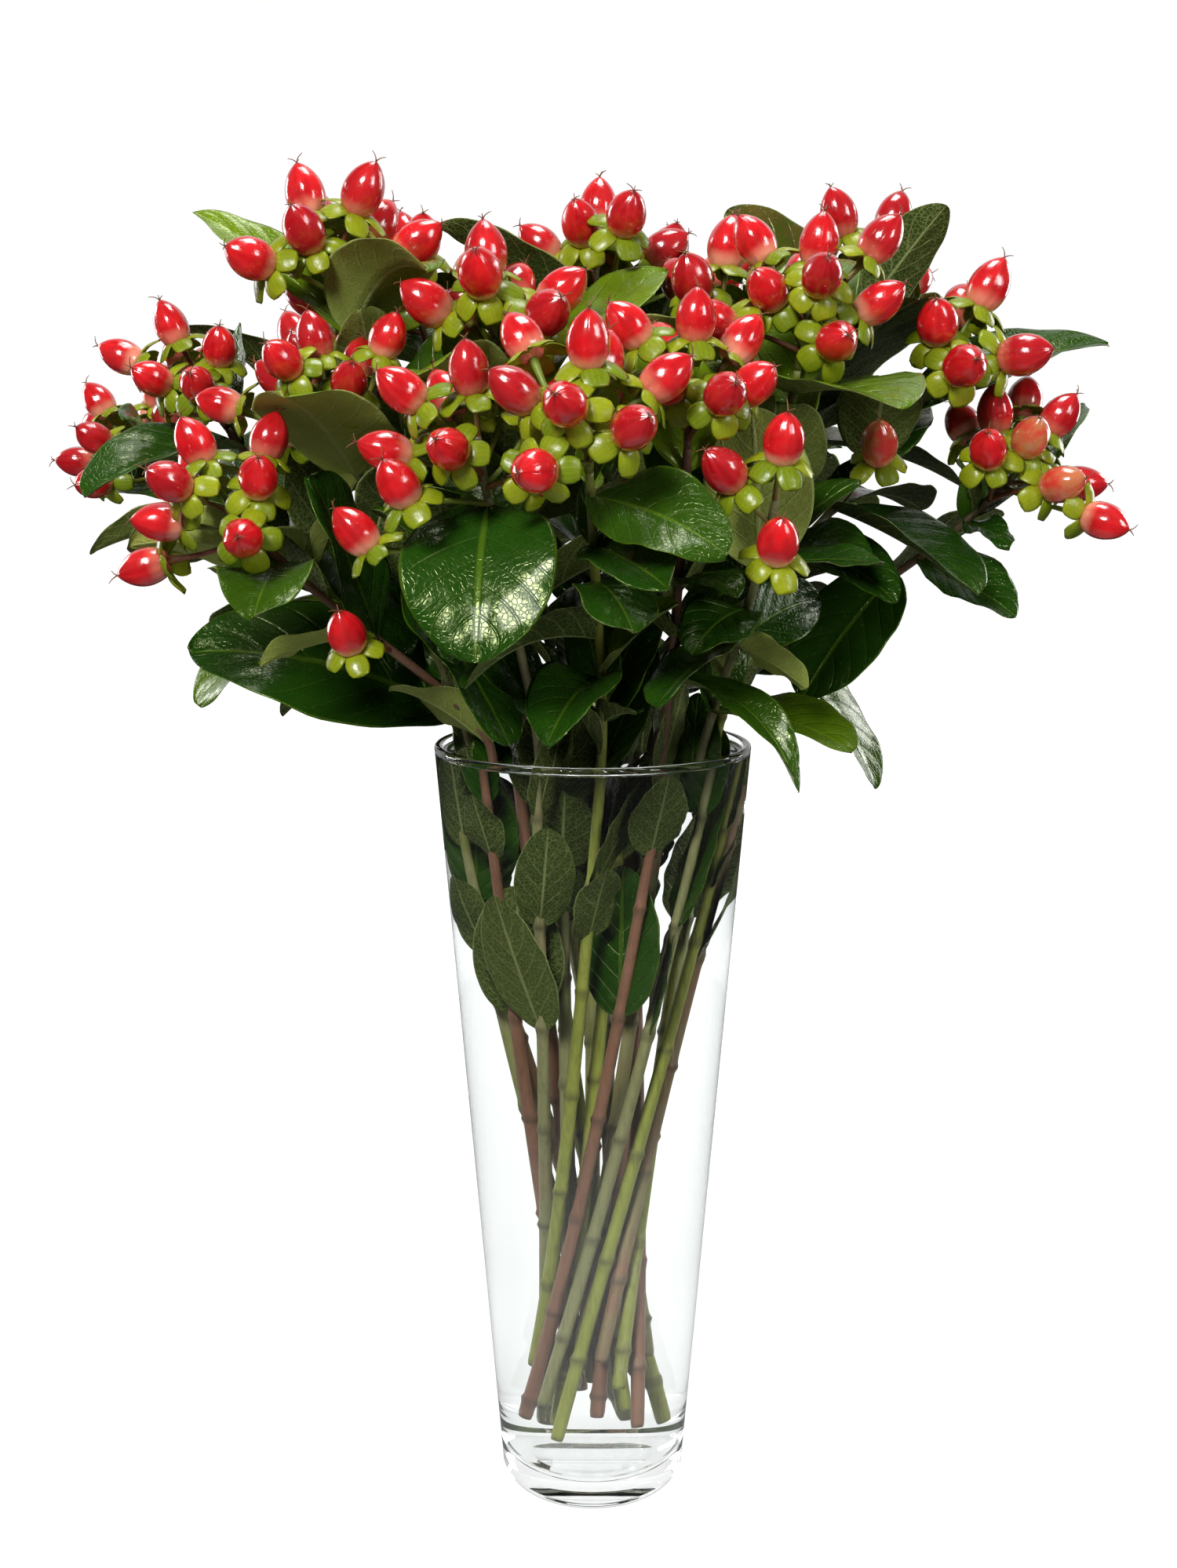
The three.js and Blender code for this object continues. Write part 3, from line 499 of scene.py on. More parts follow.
def settle(kind, stem, make):
    """Sets what make(tweak) gives where it is clear, trying the tweaks in turn, or gives None."""
    tweaks, balls = KINDS[kind]
    for tweak in tweaks:
        place = make(tweak)
        at, radius = balls(place)
        if meets_vase(at, radius):
            continue
        mine = Cluster(at, radius, stem, kind)
        if not crosses(mine):
            remember(mine)
            return place
    return None


WOOD_STEP = 4
WOOD_RUN = 6


def plant():
    stems = []
    for i, row in enumerate(STEMS):
        line = Line(row)
        run = []
        down = 0
        while down < line.foot_down:
            run.append((line.at(down)[0], line.radius(down) + 0.5))
            if len(run) == WOOD_RUN:
                kind = "top" if down < SPRAY_LENGTH else "wood"
                at, radius = (np.array(x, float) for x in zip(*run))
                remember(Cluster(at, radius, i, kind))
                run = []
            down += WOOD_STEP
        stems.append({"row": row, "line": line, "fruits": [], "leaves": []})

    def add_fruit(i, k, fruit):
        row, line = stems[i]["row"], stems[i]["line"]
        draw = draws(FRUIT_SEED + 97 * i + 13 * k)
        size = mix(0.88, 1.1, draw())
        turn = row[4] + mix(-12, 12, draw())
        place = settle("fruit", i, lambda tweak: fruit_place(line, fruit, turn, size, tweak))
        if place:
            place["seed"] = draw()
            stems[i]["fruits"].append(place)

    def add_leaf(i, leaf, kind="leaf"):
        line = stems[i]["line"]
        place = settle(kind, i, lambda tweak: leaf_place(line, leaf, tweak))
        if place:
            stems[i]["leaves"].append(place)

    # The middle fruit of every spray, then the key leaves, then the other fruits.
    for i in range(len(STEMS)):
        add_fruit(i, 0, FRUITS[0])
    for k, (stem, pair, side, down, tip, width, roll, fold, bend) in enumerate(KEY_LEAVES):
        draw = draws(KEY_SEED + 31 * k)
        wave = mix(0.8, 2.2, draw())
        leaf = {
            "down": down, "tip": vec(*tip), "width": width, "roll": roll, "fold": fold,
            "bend": bend, "wave": wave, "phase": draw(), "key": (stem, pair, side), "wet": False,
            "seed": draw(),
        }
        add_leaf(stem - 1, leaf)
    for k in range(1, len(FRUITS)):
        for i, row in enumerate(STEMS):
            if k < row[5]:
                add_fruit(i, k, FRUITS[k])
    # The other leaves, from the top pair of every stem down.
    keys = {key[:3] for key in KEY_LEAVES}
    for pair in range(DRY_PAIRS + 2):
        for i, stem in enumerate(stems):
            row, line = stem["row"], stem["line"]
            down = FIRST_PAIR + PAIR_STEP * pair
            node, grows = line.at(down)
            wet = node[2] < WET_BELOW
            if not wet and pair >= DRY_PAIRS:
                continue
            if wet and (row[0] < 2 or node[2] < LOWEST_LEAF):
                continue
            deep = node[2] < FIRST_STRIPPED
            if deep and (i + pair) % 3 == 0:
                continue
            for side in ((i + pair) % 2,) if deep else (0, 1):
                draw = draws(LEAF_SEED + 211 * i + 17 * pair + 180 * side)
                turn = row[4] + 90 * pair + 180 * side + mix(-10, 10, draw())
                spread = math.radians(mix(12, 20, draw()) if wet else mix(52, 78, draw()))
                length = (WET_LEAF_LENGTH if wet else LEAF_LENGTH) * mix(0.82, 1.12, draw())
                tip = tip_from(node, grows, around(grows, turn), spread, length)
                leaf = {
                    "down": down, "tip": tip, "key": None, "wet": wet,
                    "width": mix(0.9, 1.15, draw()) * (0.85 if wet else 1),
                    "roll": mix(-22, 22, draw()),
                    "fold": 0 if wet else mix(6, 24, draw()),
                    "bend": 0 if wet else mix(0.3, 1.1, draw()),
                    "wave": 0 if wet else mix(0.5, 2.4, draw()),
                    "phase": draw(),
                    "seed": draw(),
                }
                if (i + 1, pair, side) not in keys:
                    add_leaf(i, leaf)
    # Fruits that the solids leave out.
    for k, (number, down, target, ripe) in enumerate(SIDE_FRUITS):
        stem = stems[number - 1]
        root, grows = stem["line"].at(down)
        reach = vec(*target) - root
        side_fruit = {"root": root, "aim": unit(unit(reach) * 0.6 + UP * 0.7), "size": 0.95}
        place = settle("fruit", number - 1, lambda tweak: {
            **side_fruit, "calyx": root + reach * tweak[0], "grows": grows,
        })
        if place:
            place.update(seed=draws(SIDE_SEED + 31 * k)(), ripe=ripe)
            stem["fruits"].append(place)
    for k, fruit in enumerate(MORE_FRUITS, start=len(FRUITS)):
        for i, row in enumerate(STEMS):
            if row[5] > 2:
                add_fruit(i, k, fruit)
    # And leaves: between the pairs above the rim, at more nodes in the water, under the sprays.
    for k, (kind, share) in enumerate(MORE_LEAVES):
        for i, stem in enumerate(stems):
            draw = draws(MORE_SEED + 173 * i + 59 * k)
            row, line = stem["row"], stem["line"]
            down = share if kind == "spray" else FIRST_PAIR + PAIR_STEP * share
            if down > line.foot_down - BARE_END:
                continue
            node, grows = line.at(down)
            wet = node[2] < WET_BELOW
            if wet != (kind == "wet") or node[2] < DEEPEST_LEAF:
                continue
            for side in (0, 1):
                low, high, narrow, wide = LEAF_KINDS[kind]
                turn = mix(-30, 30, draw())
                way = around(grows, row[4] + 90 * share + 180 * side + turn)
                if wet:  # outwards and more to the front
                    way = vec(node[0], node[1] - 30, 0)
                    way = unit(way - grows * float(way @ grows))
                    way = turned(way, grows, 1.5 * turn + 90 * side - 45)
                spread = math.radians(mix(low, high, draw()))
                length = mix(narrow, wide, draw())
                tip = tip_from(node, grows, way, spread, length)
                leaf = {
                    "down": down, "tip": tip, "key": None, "wet": wet, "clear": FILL_CLEAR,
                    "width": mix(0.85, 1.15, draw()), "roll": mix(-30, 30, draw()),
                    "fold": mix(0, 12, draw()) if wet else mix(6, 30, draw()),
                    "bend": 0 if wet else mix(0.2, 1.0, draw()),
                    "wave": mix(0.4, 2.0, draw()), "phase": draw(), "seed": draw(),
                }
                if wet or tip[1] > FRONT or tip[2] > CLEAR_FRONT:
                    add_leaf(i, leaf, "fill")
    return stems


# ------------------------------------------------------------ meshes
class Sheaf:
    """The vertices and faces of one piece, gathered part by part.

    Each vertex has a mark, three numbers that place it on its part, and its part's tone, which
    sets how young, brown, ripe or red the part is.
    """

    def __init__(self):
        self.points, self.faces, self.looks, self.marks, self.tones = [], [], [], [], []
        self.count = 0

    def add(self, points, faces, looks, marks, tone):
        """Adds a part: points in mm, and a material's number for it all or for each face."""
        points = np.asarray(points, float).reshape(-1, 3)
        self.points.append(points)
        self.faces += [tuple(int(i) + self.count for i in face) for face in faces]
        self.looks += [looks] * len(faces) if isinstance(looks, int) else list(looks)
        self.marks.append(np.asarray(marks, float).reshape(-1, 3))
        self.tones.append(np.tile(np.asarray(tone, float), (len(points), 1)))
        self.count += len(points)

    def made(self, name, materials, slot, node):
        mesh = bpy.data.meshes.new(name)
        mesh.from_pydata((np.concatenate(self.points) * MM).tolist(), [], self.faces)
        for material in materials:
            mesh.materials.append(material)
        mesh.polygons.foreach_set("material_index", np.array(self.looks, np.int32))
        for key, values in (("mark", self.marks), ("tone", self.tones)):
            attribute = mesh.attributes.new(key, "FLOAT_VECTOR", "POINT")
            attribute.data.foreach_set("vector", np.concatenate(values).astype(np.float32).ravel())
        mesh.polygons.foreach_set("use_smooth", np.ones(len(mesh.polygons), bool))
        mesh.update()
        mesh.validate()
        piece = bpy.data.objects.new(name, mesh)
        bpy.context.scene.collection.objects.link(piece)
        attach(piece, "root")
        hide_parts(node)
        return piece


def quads(index, flip=False):
    """The quads of a grid of vertex numbers."""
    a, b, c, d = index[:-1, :-1], index[:-1, 1:], index[1:, 1:], index[1:, :-1]
    corners = (a, d, c, b) if flip else (a, b, c, d)
    return np.stack([x.ravel() for x in corners], axis=1)


def ring_faces(count, sides):
    """The faces of rings of vertices that close round, and of caps to two vertices after them."""
    index = np.arange(count * sides).reshape(count, sides)
    index = np.concatenate([index, index[:, :1]], axis=1)
    faces = quads(index).tolist()
    low, high = count * sides, count * sides + 1
    for k in range(sides):
        faces.append((low, index[0, k + 1], index[0, k]))
        faces.append((high, index[-1, k], index[-1, k + 1]))
    return faces


def shell(upper, lower, up):
    """Two sheets that share their edge; the upper one faces the way up points."""
    n, m = upper.shape[:2]
    index = np.arange(n * m).reshape(n, m)
    under = index.copy()
    under[1:-1, 1:-1] = n * m + np.arange((n - 2) * (m - 2)).reshape(n - 2, m - 2)
    points = np.concatenate([upper.reshape(-1, 3), lower[1:-1, 1:-1].reshape(-1, 3)])
    faces = np.concatenate([quads(index), quads(under, flip=True)])
    i, j = n // 2, m // 2
    facing = cross(upper[i, j + 1] - upper[i, j], upper[i + 1, j] - upper[i, j])
    if float(facing @ up[i, j]) < 0:
        faces = faces[:, ::-1]
    return points, faces.tolist()


def shell_marks(t, a, third):
    """For each point of a shell: its place along, its place across and a number of its own."""
    marks = np.stack(np.broadcast_arrays(t[:, None], a[None], third), axis=-1)
    return np.concatenate([marks.reshape(-1, 3), marks[1:-1, 1:-1].reshape(-1, 3)])


def normals_of(grid):
    along = np.gradient(grid, axis=0)
    across = np.gradient(grid, axis=1)
    return units(cross(along, across))


def tube(points, radii, sides, ridges=0.0):
    """Rings round a line and both end caps, as vertices and faces."""
    points = np.asarray(points, float)
    way = units(np.gradient(points, axis=0))
    side = np.empty_like(points)
    last = around(way[0], 0)
    for i, w in enumerate(way):
        last = unit(last - w * float(last @ w))
        side[i] = last
    other = cross(way, side)
    angle = circle(sides)
    radii = np.asarray(radii, float)[:, None] * (1 + ridges * np.cos(2 * angle))[None]
    across = side[:, None] * np.cos(angle)[:, None] + other[:, None] * np.sin(angle)[:, None]
    rings = points[:, None] + radii[..., None] * across
    made = np.concatenate([rings.reshape(-1, 3), [points[0], points[-1]]])
    return made, ring_faces(len(points), sides)


# ------------------------------------------------------------ fine forms: leaves
BLADE_ALONG = 30
BLADE_ACROSS = 12
VEIN_PAIRS = 6.5
VEIN_SWEEP = 0.3
TOP, UNDER, BARK = 0, 1, 2  # a stem's materials
# How young and light some of the key leaves are; the others draw it. (14, 0, 0) is set lightest
# partly for its pale underside and partly as painted light, since that underside faces down into
# shade.
YOUNG = {
    (16, 0, 0): 0.05, (17, 0, 0): 0.3, (18, 2, 0): 0.25, (15, 1, 0): 0.1, (14, 0, 0): 1.0,
    (2, 1, 0): 0.15, (21, 0, 0): 0.15, (21, 0, 1): 0.3, (14, 2, 0): 0.1, (16, 2, 0): 0.05,
    (13, 1, 0): 0.05, (14, 1, 0): 0.0, (15, 3, 0): 0.6, (18, 2, 1): 0.3, (20, 1, 0): 0.5,
    (17, 1, 0): 0.0, (17, 2, 0): 0.1, (15, 0, 0): 0.35, (15, 0, 1): 0.8, (14, 0, 1): 0.85,
    (15, 1, 1): 0.75, (12, 0, 0): 0.4, (12, 0, 1): 0.2, (12, 1, 0): 0.5, (12, 1, 1): 0.3,
    (13, 0, 0): 0.1, (5, 1, 0): 0.5, (2, 0, 0): 0.1, (2, 0, 1): 0.4, (3, 0, 0): 0.1,
    (21, 1, 0): 0.1, (21, 1, 1): 0.1, (21, 2, 0): 0.25, (19, 0, 0): 0.7, (19, 0, 1): 0.0,
    (19, 1, 0): 0.8, (19, 1, 1): 0.0,
}
# And how much some of them have browned.
BROWN = {(2, 0, 1): 0.8, (14, 0, 1): 0.25, (12, 1, 1): 0.6}


def blade(sheaf, place):
    """A thin leaf with its quilted upper side, its ribbed underside and its own colours."""
    common = "clear" not in place  # the leaves that only this dressing has are coarser
    share = 3 if common else 2
    s = np.linspace(0, 1, BLADE_ALONG * share // 3 + 1)
    t = np.clip(0.5 - 0.5 * np.cos(math.pi * (0.06 + 0.92 * s)), 0, 1)
    t = (t - t[0]) / (t[-1] - t[0]) * 0.9992 + 0.0004
    a = np.linspace(-1, 1, BLADE_ACROSS * share // 3 + 1)
    a = np.sin(a * math.pi / 2 * 0.94) / math.sin(0.94 * math.pi / 2)
    mid = leaf_points(place, t, a)
    up = -normals_of(mid)
    tops = place["top"][np.minimum((t * RIB_STEPS).astype(int), RIB_STEPS)][:, None]
    up = np.where((up * tops).sum(-1, keepdims=True) < 0, -up, up)
    veins = (t[:, None] - VEIN_SWEEP * np.abs(a)[None] ** 1.2) * VEIN_PAIRS + place["seed"]
    swell = np.abs(np.sin(math.pi * veins)) ** 0.8 * np.clip(np.abs(a) * 5, 0, 1)[None]
    fade = (1 - np.abs(a) ** 3)[None] * np.clip(12 * t * (1 - t), 0, 1)[:, None]
    puff = (0.006 * place["length"]) * swell * fade
    edge = np.abs(a)[None] ** 6 * np.sin(2 * math.pi * (4.2 * t + 7 * place["seed"]))[:, None]
    mid = mid + up * (puff + 0.35 * edge * fade.max())[..., None]
    half = 0.26 * np.sqrt(np.maximum(1 - a * a, 0))[None] * np.clip(14 * (1 - t), 0, 1)[:, None]
    rib = 0.55 * np.exp(-((a / 0.09) ** 2))[None] * (1 - 0.75 * t)[:, None]
    upper = mid + up * (half - 0.6 * rib)[..., None]
    lower = mid - up * (half + rib)[..., None]
    points, faces = shell(upper, lower, up)
    draw = own_draws(place)
    young = draw() ** 1.3 * (0.35 if place["wet"] else 1.0 if place["down"] < 40 else 0.6)
    # Painted shade in part: added leaves low in the bunch are kept dark, for their age and for the
    # shade that falls among them.
    if not common and place["tip"][2] < LOW_LEAVES:
        young = min(young, 0.12)
    tone = [YOUNG.get(place["key"], young), BROWN.get(place["key"], 0.0), 0]
    half_of_them = len(faces) // 2
    looks = [TOP] * half_of_them + [UNDER] * half_of_them
    sheaf.add(points, faces, looks, shell_marks(t, a, place["seed"]), tone)


# ------------------------------------------------------------ fine forms: wood
STEM_RINGS = 2.2  # mm between the rings of a stem's skin
STEM_SIDES = 12


def bark(sheaf, line, kind, start, end, look):
    """The skin of a stem, swollen at its nodes."""
    count = max(6, int((end - start) / STEM_RINGS))
    down = np.linspace(start, end, count)
    near = (down - FIRST_PAIR + PAIR_STEP / 2) % PAIR_STEP - PAIR_STEP / 2
    node = np.exp(-((near / 1.7) ** 2)) * (down > FIRST_PAIR - 8)
    scar = np.exp(-(((near - 1.6) / 0.7) ** 2)) * (down > FIRST_PAIR - 8)
    radii = line.radius(down) * (1 + 0.3 * node - 0.1 * scar)
    radii[0] *= 0.9
    radii[-1] *= 0.88
    points = np.array([line.at(d)[0] for d in down])
    made, faces = tube(points, radii, STEM_SIDES, 0.05)
    marks = np.zeros((len(made), 3))
    marks[:-2, 1] = np.repeat(node, STEM_SIDES)
    marks[-2:, 2] = 1
    sheaf.add(made, faces, look, marks, [kind, 0, 0])


# ------------------------------------------------------------ fine forms: fruits
BERRY, SEPAL, PEDICEL, STYLE, TWIG = 0, 1, 2, 3, 4  # a spray's materials
BERRY_RINGS = 18
BERRY_SIDES = 24


def berry(sheaf, place, ripe):
    size, aim, calyx = place["size"], place["aim"], place["calyx"]
    draw = own_draws(place, 5)
    radius = BERRY_RADIUS * size
    height = BERRY_HEIGHT * size * mix(1.0, 1.1, draw())
    spin = draw() * 360
    u = 0.5 - 0.5 * np.cos(math.pi * np.linspace(0.04, 1, BERRY_RINGS))
    shape = np.power(np.maximum(1 - u**2.2, 0), 0.78) * np.power(u + 0.03, 0.32) / 0.69
    shape = np.maximum(shape, 0.035)
    angle = circle(BERRY_SIDES)
    groove = np.maximum(np.cos(3 * angle), 0) ** 5
    dents = 1 - (0.05 * np.sin(math.pi * u) ** 0.5)[:, None] * groove[None]
    first, second = around(aim, spin), around(aim, spin + 90)
    lean = first * (0.05 * radius * mix(-1, 1, draw()))
    r = radius * shape[:, None] * dents
    rings = (
        calyx + aim * (height * 1.04 * u[:, None, None] + 0.2) + lean * (u**2)[:, None, None]
        + first * (r * np.cos(angle))[..., None] + second * (r * np.sin(angle))[..., None]
    )
    tip = rings[-1].mean(0)
    points = np.concatenate([rings.reshape(-1, 3), [rings[0].mean(0), tip]])
    marks = np.zeros((len(points), 3))
    marks[:-2, 0] = np.repeat(u, BERRY_SIDES)
    marks[:-2, 1] = np.tile(groove, BERRY_RINGS)
    marks[-1, 0] = 1
    phase = 6 * draw()
    streaks = 0.5 + 0.5 * np.cos(7 * angle + phase) * np.cos(4 * angle + 2 * phase)
    marks[:-2, 2] = np.tile(streaks, BERRY_RINGS)
    sheaf.add(points, ring_faces(BERRY_RINGS, BERRY_SIDES), BERRY, marks, [ripe, place["seed"], 0])
    # Three thin styles curl away from the tip.
    for k in range(3):
        way = around(aim, spin + 60 + 120 * k + mix(-25, 25, draw()))
        reach = mix(1.8, 4.6, draw())
        s = np.linspace(0, 1, 7)[:, None]
        line = tip - aim * 0.5 + aim * (reach * (s - 0.35 * s**2)) + way * (reach * 0.75 * s**1.6)
        made, some = tube(line, np.linspace(0.26, 0.12, 7), 5)
        sheaf.add(made, some, STYLE, np.zeros((len(made), 3)), [draw(), 0, 0])


def sepals(sheaf, place):
    """Five rounded lobes that bend back under the berry."""
    size, aim, calyx = place["size"], place["aim"], place["calyx"]
    draw = own_draws(place, 77)
    t = np.linspace(0, 1, 9) ** 0.9
    a = np.sin(np.linspace(-1, 1, 7) * math.pi / 2)
    for k in range(5):
        out = around(aim, 72 * k)
        wide = cross(aim, out)
        length = SEPAL_LENGTH * size * mix(1.15, 1.45, draw())
        droop = mix(1.4, 4.6, draw()) * size
        half = mix(6.2, 7.6, draw()) * size * np.power(t + 0.03, 0.6)
        half = half * np.sqrt(np.clip(1 - (t * 0.998) ** 2.3, 0, 1))
        run = 1.0 + (length - 1.0) * t
        rise = 0.7 + 1.5 * np.sin(math.pi * np.minimum(t * 1.15, 1)) - droop * t**2.2
        cup = mix(0.18, 0.4, draw())
        grid = (
            calyx + out * run[:, None, None] + aim * rise[:, None, None]
            + wide * (half[:, None] * a[None])[..., None]
            + aim * (-cup * half[:, None] * (a**2)[None])[..., None]
        )
        up = normals_of(grid)
        up = np.where((up @ aim)[..., None] < 0, -up, up)
        thick = (0.3 * np.sqrt(np.maximum(1 - a * a, 0)))[None, :, None]
        thick = thick * np.clip(8 * (1 - t), 0, 1)[:, None, None]
        upper, lower = grid + up * thick, grid - up * thick
        points, faces = shell(upper, lower, up)
        sheaf.add(points, faces, SEPAL, shell_marks(t, a, k), [draw(), place["seed"], 0])


def pedicel(sheaf, place):
    root, calyx, aim, size = place["root"], place["calyx"], place["aim"], place["size"]
    draw = own_draws(place, 31)
    s = np.linspace(0, 1, 10)[:, None]
    far = length_of(calyx - root)
    bow = around(aim, 360 * draw()) * (0.05 * far * np.sin(math.pi * s))
    line = root + (calyx + aim * 0.6 - root) * s + bow
    radii = PEDICEL_RADIUS * (1.15 - 0.2 * np.sin(math.pi * s[:, 0]) + 0.9 * s[:, 0] ** 9)
    made, faces = tube(line, radii, 8)
    marks = np.zeros((len(made), 3))
    marks[:-2, 0] = np.repeat(s[:, 0], 8)
    marks[-1, 0] = 1
    sheaf.add(made, faces, PEDICEL, marks, [draw(), place["seed"], 0])


# ------------------------------------------------------------ fine forms: glass and water
TURN_STEPS = 144


def lathe(name, profile, material, slot, node):
    """A closed body of revolution from a profile of radius and height that ends on the axis."""
    inside = np.array([p for p in profile if p[0] > 1e-6])
    angle = circle(TURN_STEPS)
    rings = np.stack(
        [
            inside[:, :1] * np.cos(angle)[None],
            inside[:, :1] * np.sin(angle)[None],
            np.repeat(inside[:, 1:], TURN_STEPS, axis=1),
        ],
        axis=-1,
    )
    ends = [(0, 0, profile[0][1]), (0, 0, profile[-1][1])]
    points = np.concatenate([rings.reshape(-1, 3), ends])
    sheaf = Sheaf()
    faces = ring_faces(len(inside), TURN_STEPS)
    sheaf.add(points, faces, 0, np.zeros((len(points), 3)), [0, 0, 0])
    return sheaf.made(name, [material], slot, node)


def curve(points, steps):
    """A smooth run through points of (radius, height), by steps of a cubic through each four of
    them.
    """
    p = np.array(points, float)
    p = np.vstack([2 * p[0] - p[1], p, 2 * p[-1] - p[-2]])
    out = []
    for i in range(1, len(p) - 2):
        a, b, c, d = p[i - 1 : i + 3]
        for k in range(steps):
            t = k / steps
            out.append(
                0.5 * (2 * b + (c - a) * t + (2 * a - 5 * b + 4 * c - d) * t**2
                       + (3 * b - a - 3 * c + d) * t**3)
            )
    out.append(p[-2])
    return [tuple(x) for x in out]


def arc(centre, radius, start, end, steps):
    angles = np.radians(np.linspace(start, end, steps))
    return [(centre[0] + radius * math.cos(x), centre[1] + radius * math.sin(x)) for x in angles]


# ------------------------------------------------------------ materials
class Look:
    """A node material, with helpers that each add a node and give its output."""

    def __init__(self, name, **sockets):
        self.material = bpy.data.materials.new(name)
        self.material.use_nodes = True
        self.nodes = self.material.node_tree.nodes
        self.links = self.material.node_tree.links
        self.shader = self.nodes["Principled BSDF"]
        for key, value in sockets.items():
            self.shader.inputs[key.replace("_", " ")].default_value = value

    def node(self, kind, **values):
        made = self.nodes.new("ShaderNode" + kind)
        for key, value in values.items():
            setattr(made, key, value)
        return made

    def plug(self, value, socket):
        if isinstance(value, bpy.types.NodeSocket):
            self.links.new(value, socket)
        else:
            socket.default_value = value

    def math(self, operation, a, b=0.0, c=None):
        made = self.node("Math", operation=operation)
        self.plug(a, made.inputs[0])
        self.plug(b, made.inputs[1])
        if c is not None:
            self.plug(c, made.inputs[2])
        return made.outputs[0]

    def times(self, a, b):
        return self.math("MULTIPLY", a, b)

    def times_plus(self, a, b, c):
        return self.math("MULTIPLY_ADD", a, b, c)

    def off_line(self, value):
        """How far a number lies from the nearest half between two whole ones."""
        return self.math("ABSOLUTE", self.math("SUBTRACT", self.math("FRACT", value), 0.5))

    def step(self, value, low, high, to_low=0.0, to_high=1.0):
        made = self.node("MapRange", interpolation_type="SMOOTHSTEP")
        self.plug(value, made.inputs["Value"])
        ends = {"From Min": low, "From Max": high, "To Min": to_low, "To Max": to_high}
        for key, end in ends.items():
            made.inputs[key].default_value = end
        return made.outputs[0]

    def blend(self, factor, a, b, kind="MIX"):
        made = self.node("Mix", data_type="RGBA", blend_type=kind)
        for value, key in ((factor, 0), (a, 6), (b, 7)):
            if isinstance(value, tuple):
                value = (*value, 1.0)
            self.plug(value, made.inputs[key])
        return made.outputs[2]

    def parts(self, name):
        """The three numbers of one of the mesh's own marks."""
        return self.split(self.node("Attribute", attribute_name=name).outputs["Vector"])

    def split(self, vector):
        made = self.node("SeparateXYZ")
        self.links.new(vector, made.inputs[0])
        return made.outputs

    def place(self):
        return self.node("TexCoord").outputs["Object"]

    def noise(self, scale, detail=2.0, rough=0.5, stretch=None):
        made = self.node("TexNoise")
        made.inputs["Scale"].default_value = scale
        made.inputs["Detail"].default_value = detail
        made.inputs["Roughness"].default_value = rough
        at = self.place()
        if stretch:
            mapped = self.node("Mapping")
            mapped.inputs["Scale"].default_value = stretch
            self.links.new(at, mapped.inputs["Vector"])
            at = mapped.outputs[0]
        self.links.new(at, made.inputs["Vector"])
        return made.outputs[0]

    def bump(self, height, strength, distance):
        made = self.node("Bump")
        made.inputs["Strength"].default_value = strength
        made.inputs["Distance"].default_value = distance
        self.links.new(height, made.inputs["Height"])
        self.links.new(made.outputs[0], self.shader.inputs["Normal"])

    def colour(self, value):
        self.plug(value, self.shader.inputs["Base Color"])

    def roughness(self, value):
        self.plug(value, self.shader.inputs["Roughness"])


def leaf_look(name, upper):
    gloss = {"Specular_IOR_Level": 0.25}
    if upper:
        gloss = {"Specular_IOR_Level": 0.4, "Coat_Weight": 0.08, "Coat_Roughness": 0.08}
    look = Look(name, Specular_Tint=(0.9, 1.0, 0.5, 1.0), **gloss)
    t, a, seed = look.parts("mark")
    young, brown, _ = look.parts("tone")
    side = look.math("ABSOLUTE", a)
    sweep = look.times(look.math("POWER", side, 1.2), VEIN_SWEEP)
    q = look.times_plus(look.math("SUBTRACT", t, sweep), VEIN_PAIRS, seed)
    off = look.off_line(look.math("ADD", q, 0.5))
    vein = look.step(off, 0.015, 0.085, 1.0, 0.0)
    rib = look.step(side, 0.02, 0.07, 1.0, 0.0)
    veins = look.math("MAXIMUM", look.times(vein, look.step(side, 0.75, 1.0, 0.7, 0.0)), rib)
    cells = look.node("TexVoronoi", feature="DISTANCE_TO_EDGE")
    cells.inputs["Scale"].default_value = 620.0
    look.links.new(look.place(), cells.inputs["Vector"])
    net = look.step(cells.outputs["Distance"], 0.0, 0.12, 1.0, 0.0)
    blotch = look.noise(55.0, 3.0, 0.6)
    fine = look.noise(420.0, 2.0)
    if upper:
        base = look.blend(blotch, (0.005, 0.030, 0.002), (0.018, 0.068, 0.004))
        light = look.blend(blotch, (0.085, 0.160, 0.003), (0.170, 0.265, 0.006))
        pale = (0.130, 0.230, 0.012)
        dry = look.blend(blotch, (0.060, 0.030, 0.008), (0.120, 0.085, 0.018))
    else:
        base = look.blend(blotch, (0.022, 0.040, 0.006), (0.052, 0.080, 0.012))
        light = look.blend(blotch, (0.230, 0.290, 0.045), (0.360, 0.420, 0.085))
        pale = (0.430, 0.490, 0.190)
        dry = look.blend(blotch, (0.110, 0.080, 0.030), (0.190, 0.150, 0.060))
    colour = look.blend(look.step(young, 0.15, 1.0), base, light)
    shown = look.math("MAXIMUM", look.times(veins, 0.08 if upper else 0.3),
                      look.times(rib, 0.35 if upper else 0.5))
    colour = look.blend(shown, colour, pale)
    colour = look.blend(look.times(net, 0.05 if upper else 0.25), colour, pale)
    colour = look.blend(look.times(brown, look.step(blotch, 0.3, 0.6)), colour, dry)
    edge = look.step(side, 0.95, 1.0, 0.0, 0.6)
    colour = look.blend(edge, colour, pale)
    look.colour(colour)
    if upper:
        look.roughness(look.step(fine, 0.25, 0.75, 0.13, 0.28))
        height = look.times_plus(veins, -0.8, look.times(fine, 0.3))
        height = look.times_plus(net, -0.1, height)
        height = look.times_plus(off, 0.7, height)
        look.bump(height, 0.8, 0.0005)
    else:
        look.roughness(look.step(fine, 0.25, 0.75, 0.48, 0.68))
        height = look.times_plus(veins, 1.0, look.times(fine, 0.3))
        height = look.times_plus(net, 0.35, height)
        look.bump(height, 0.6, 0.0005)
    return look.material


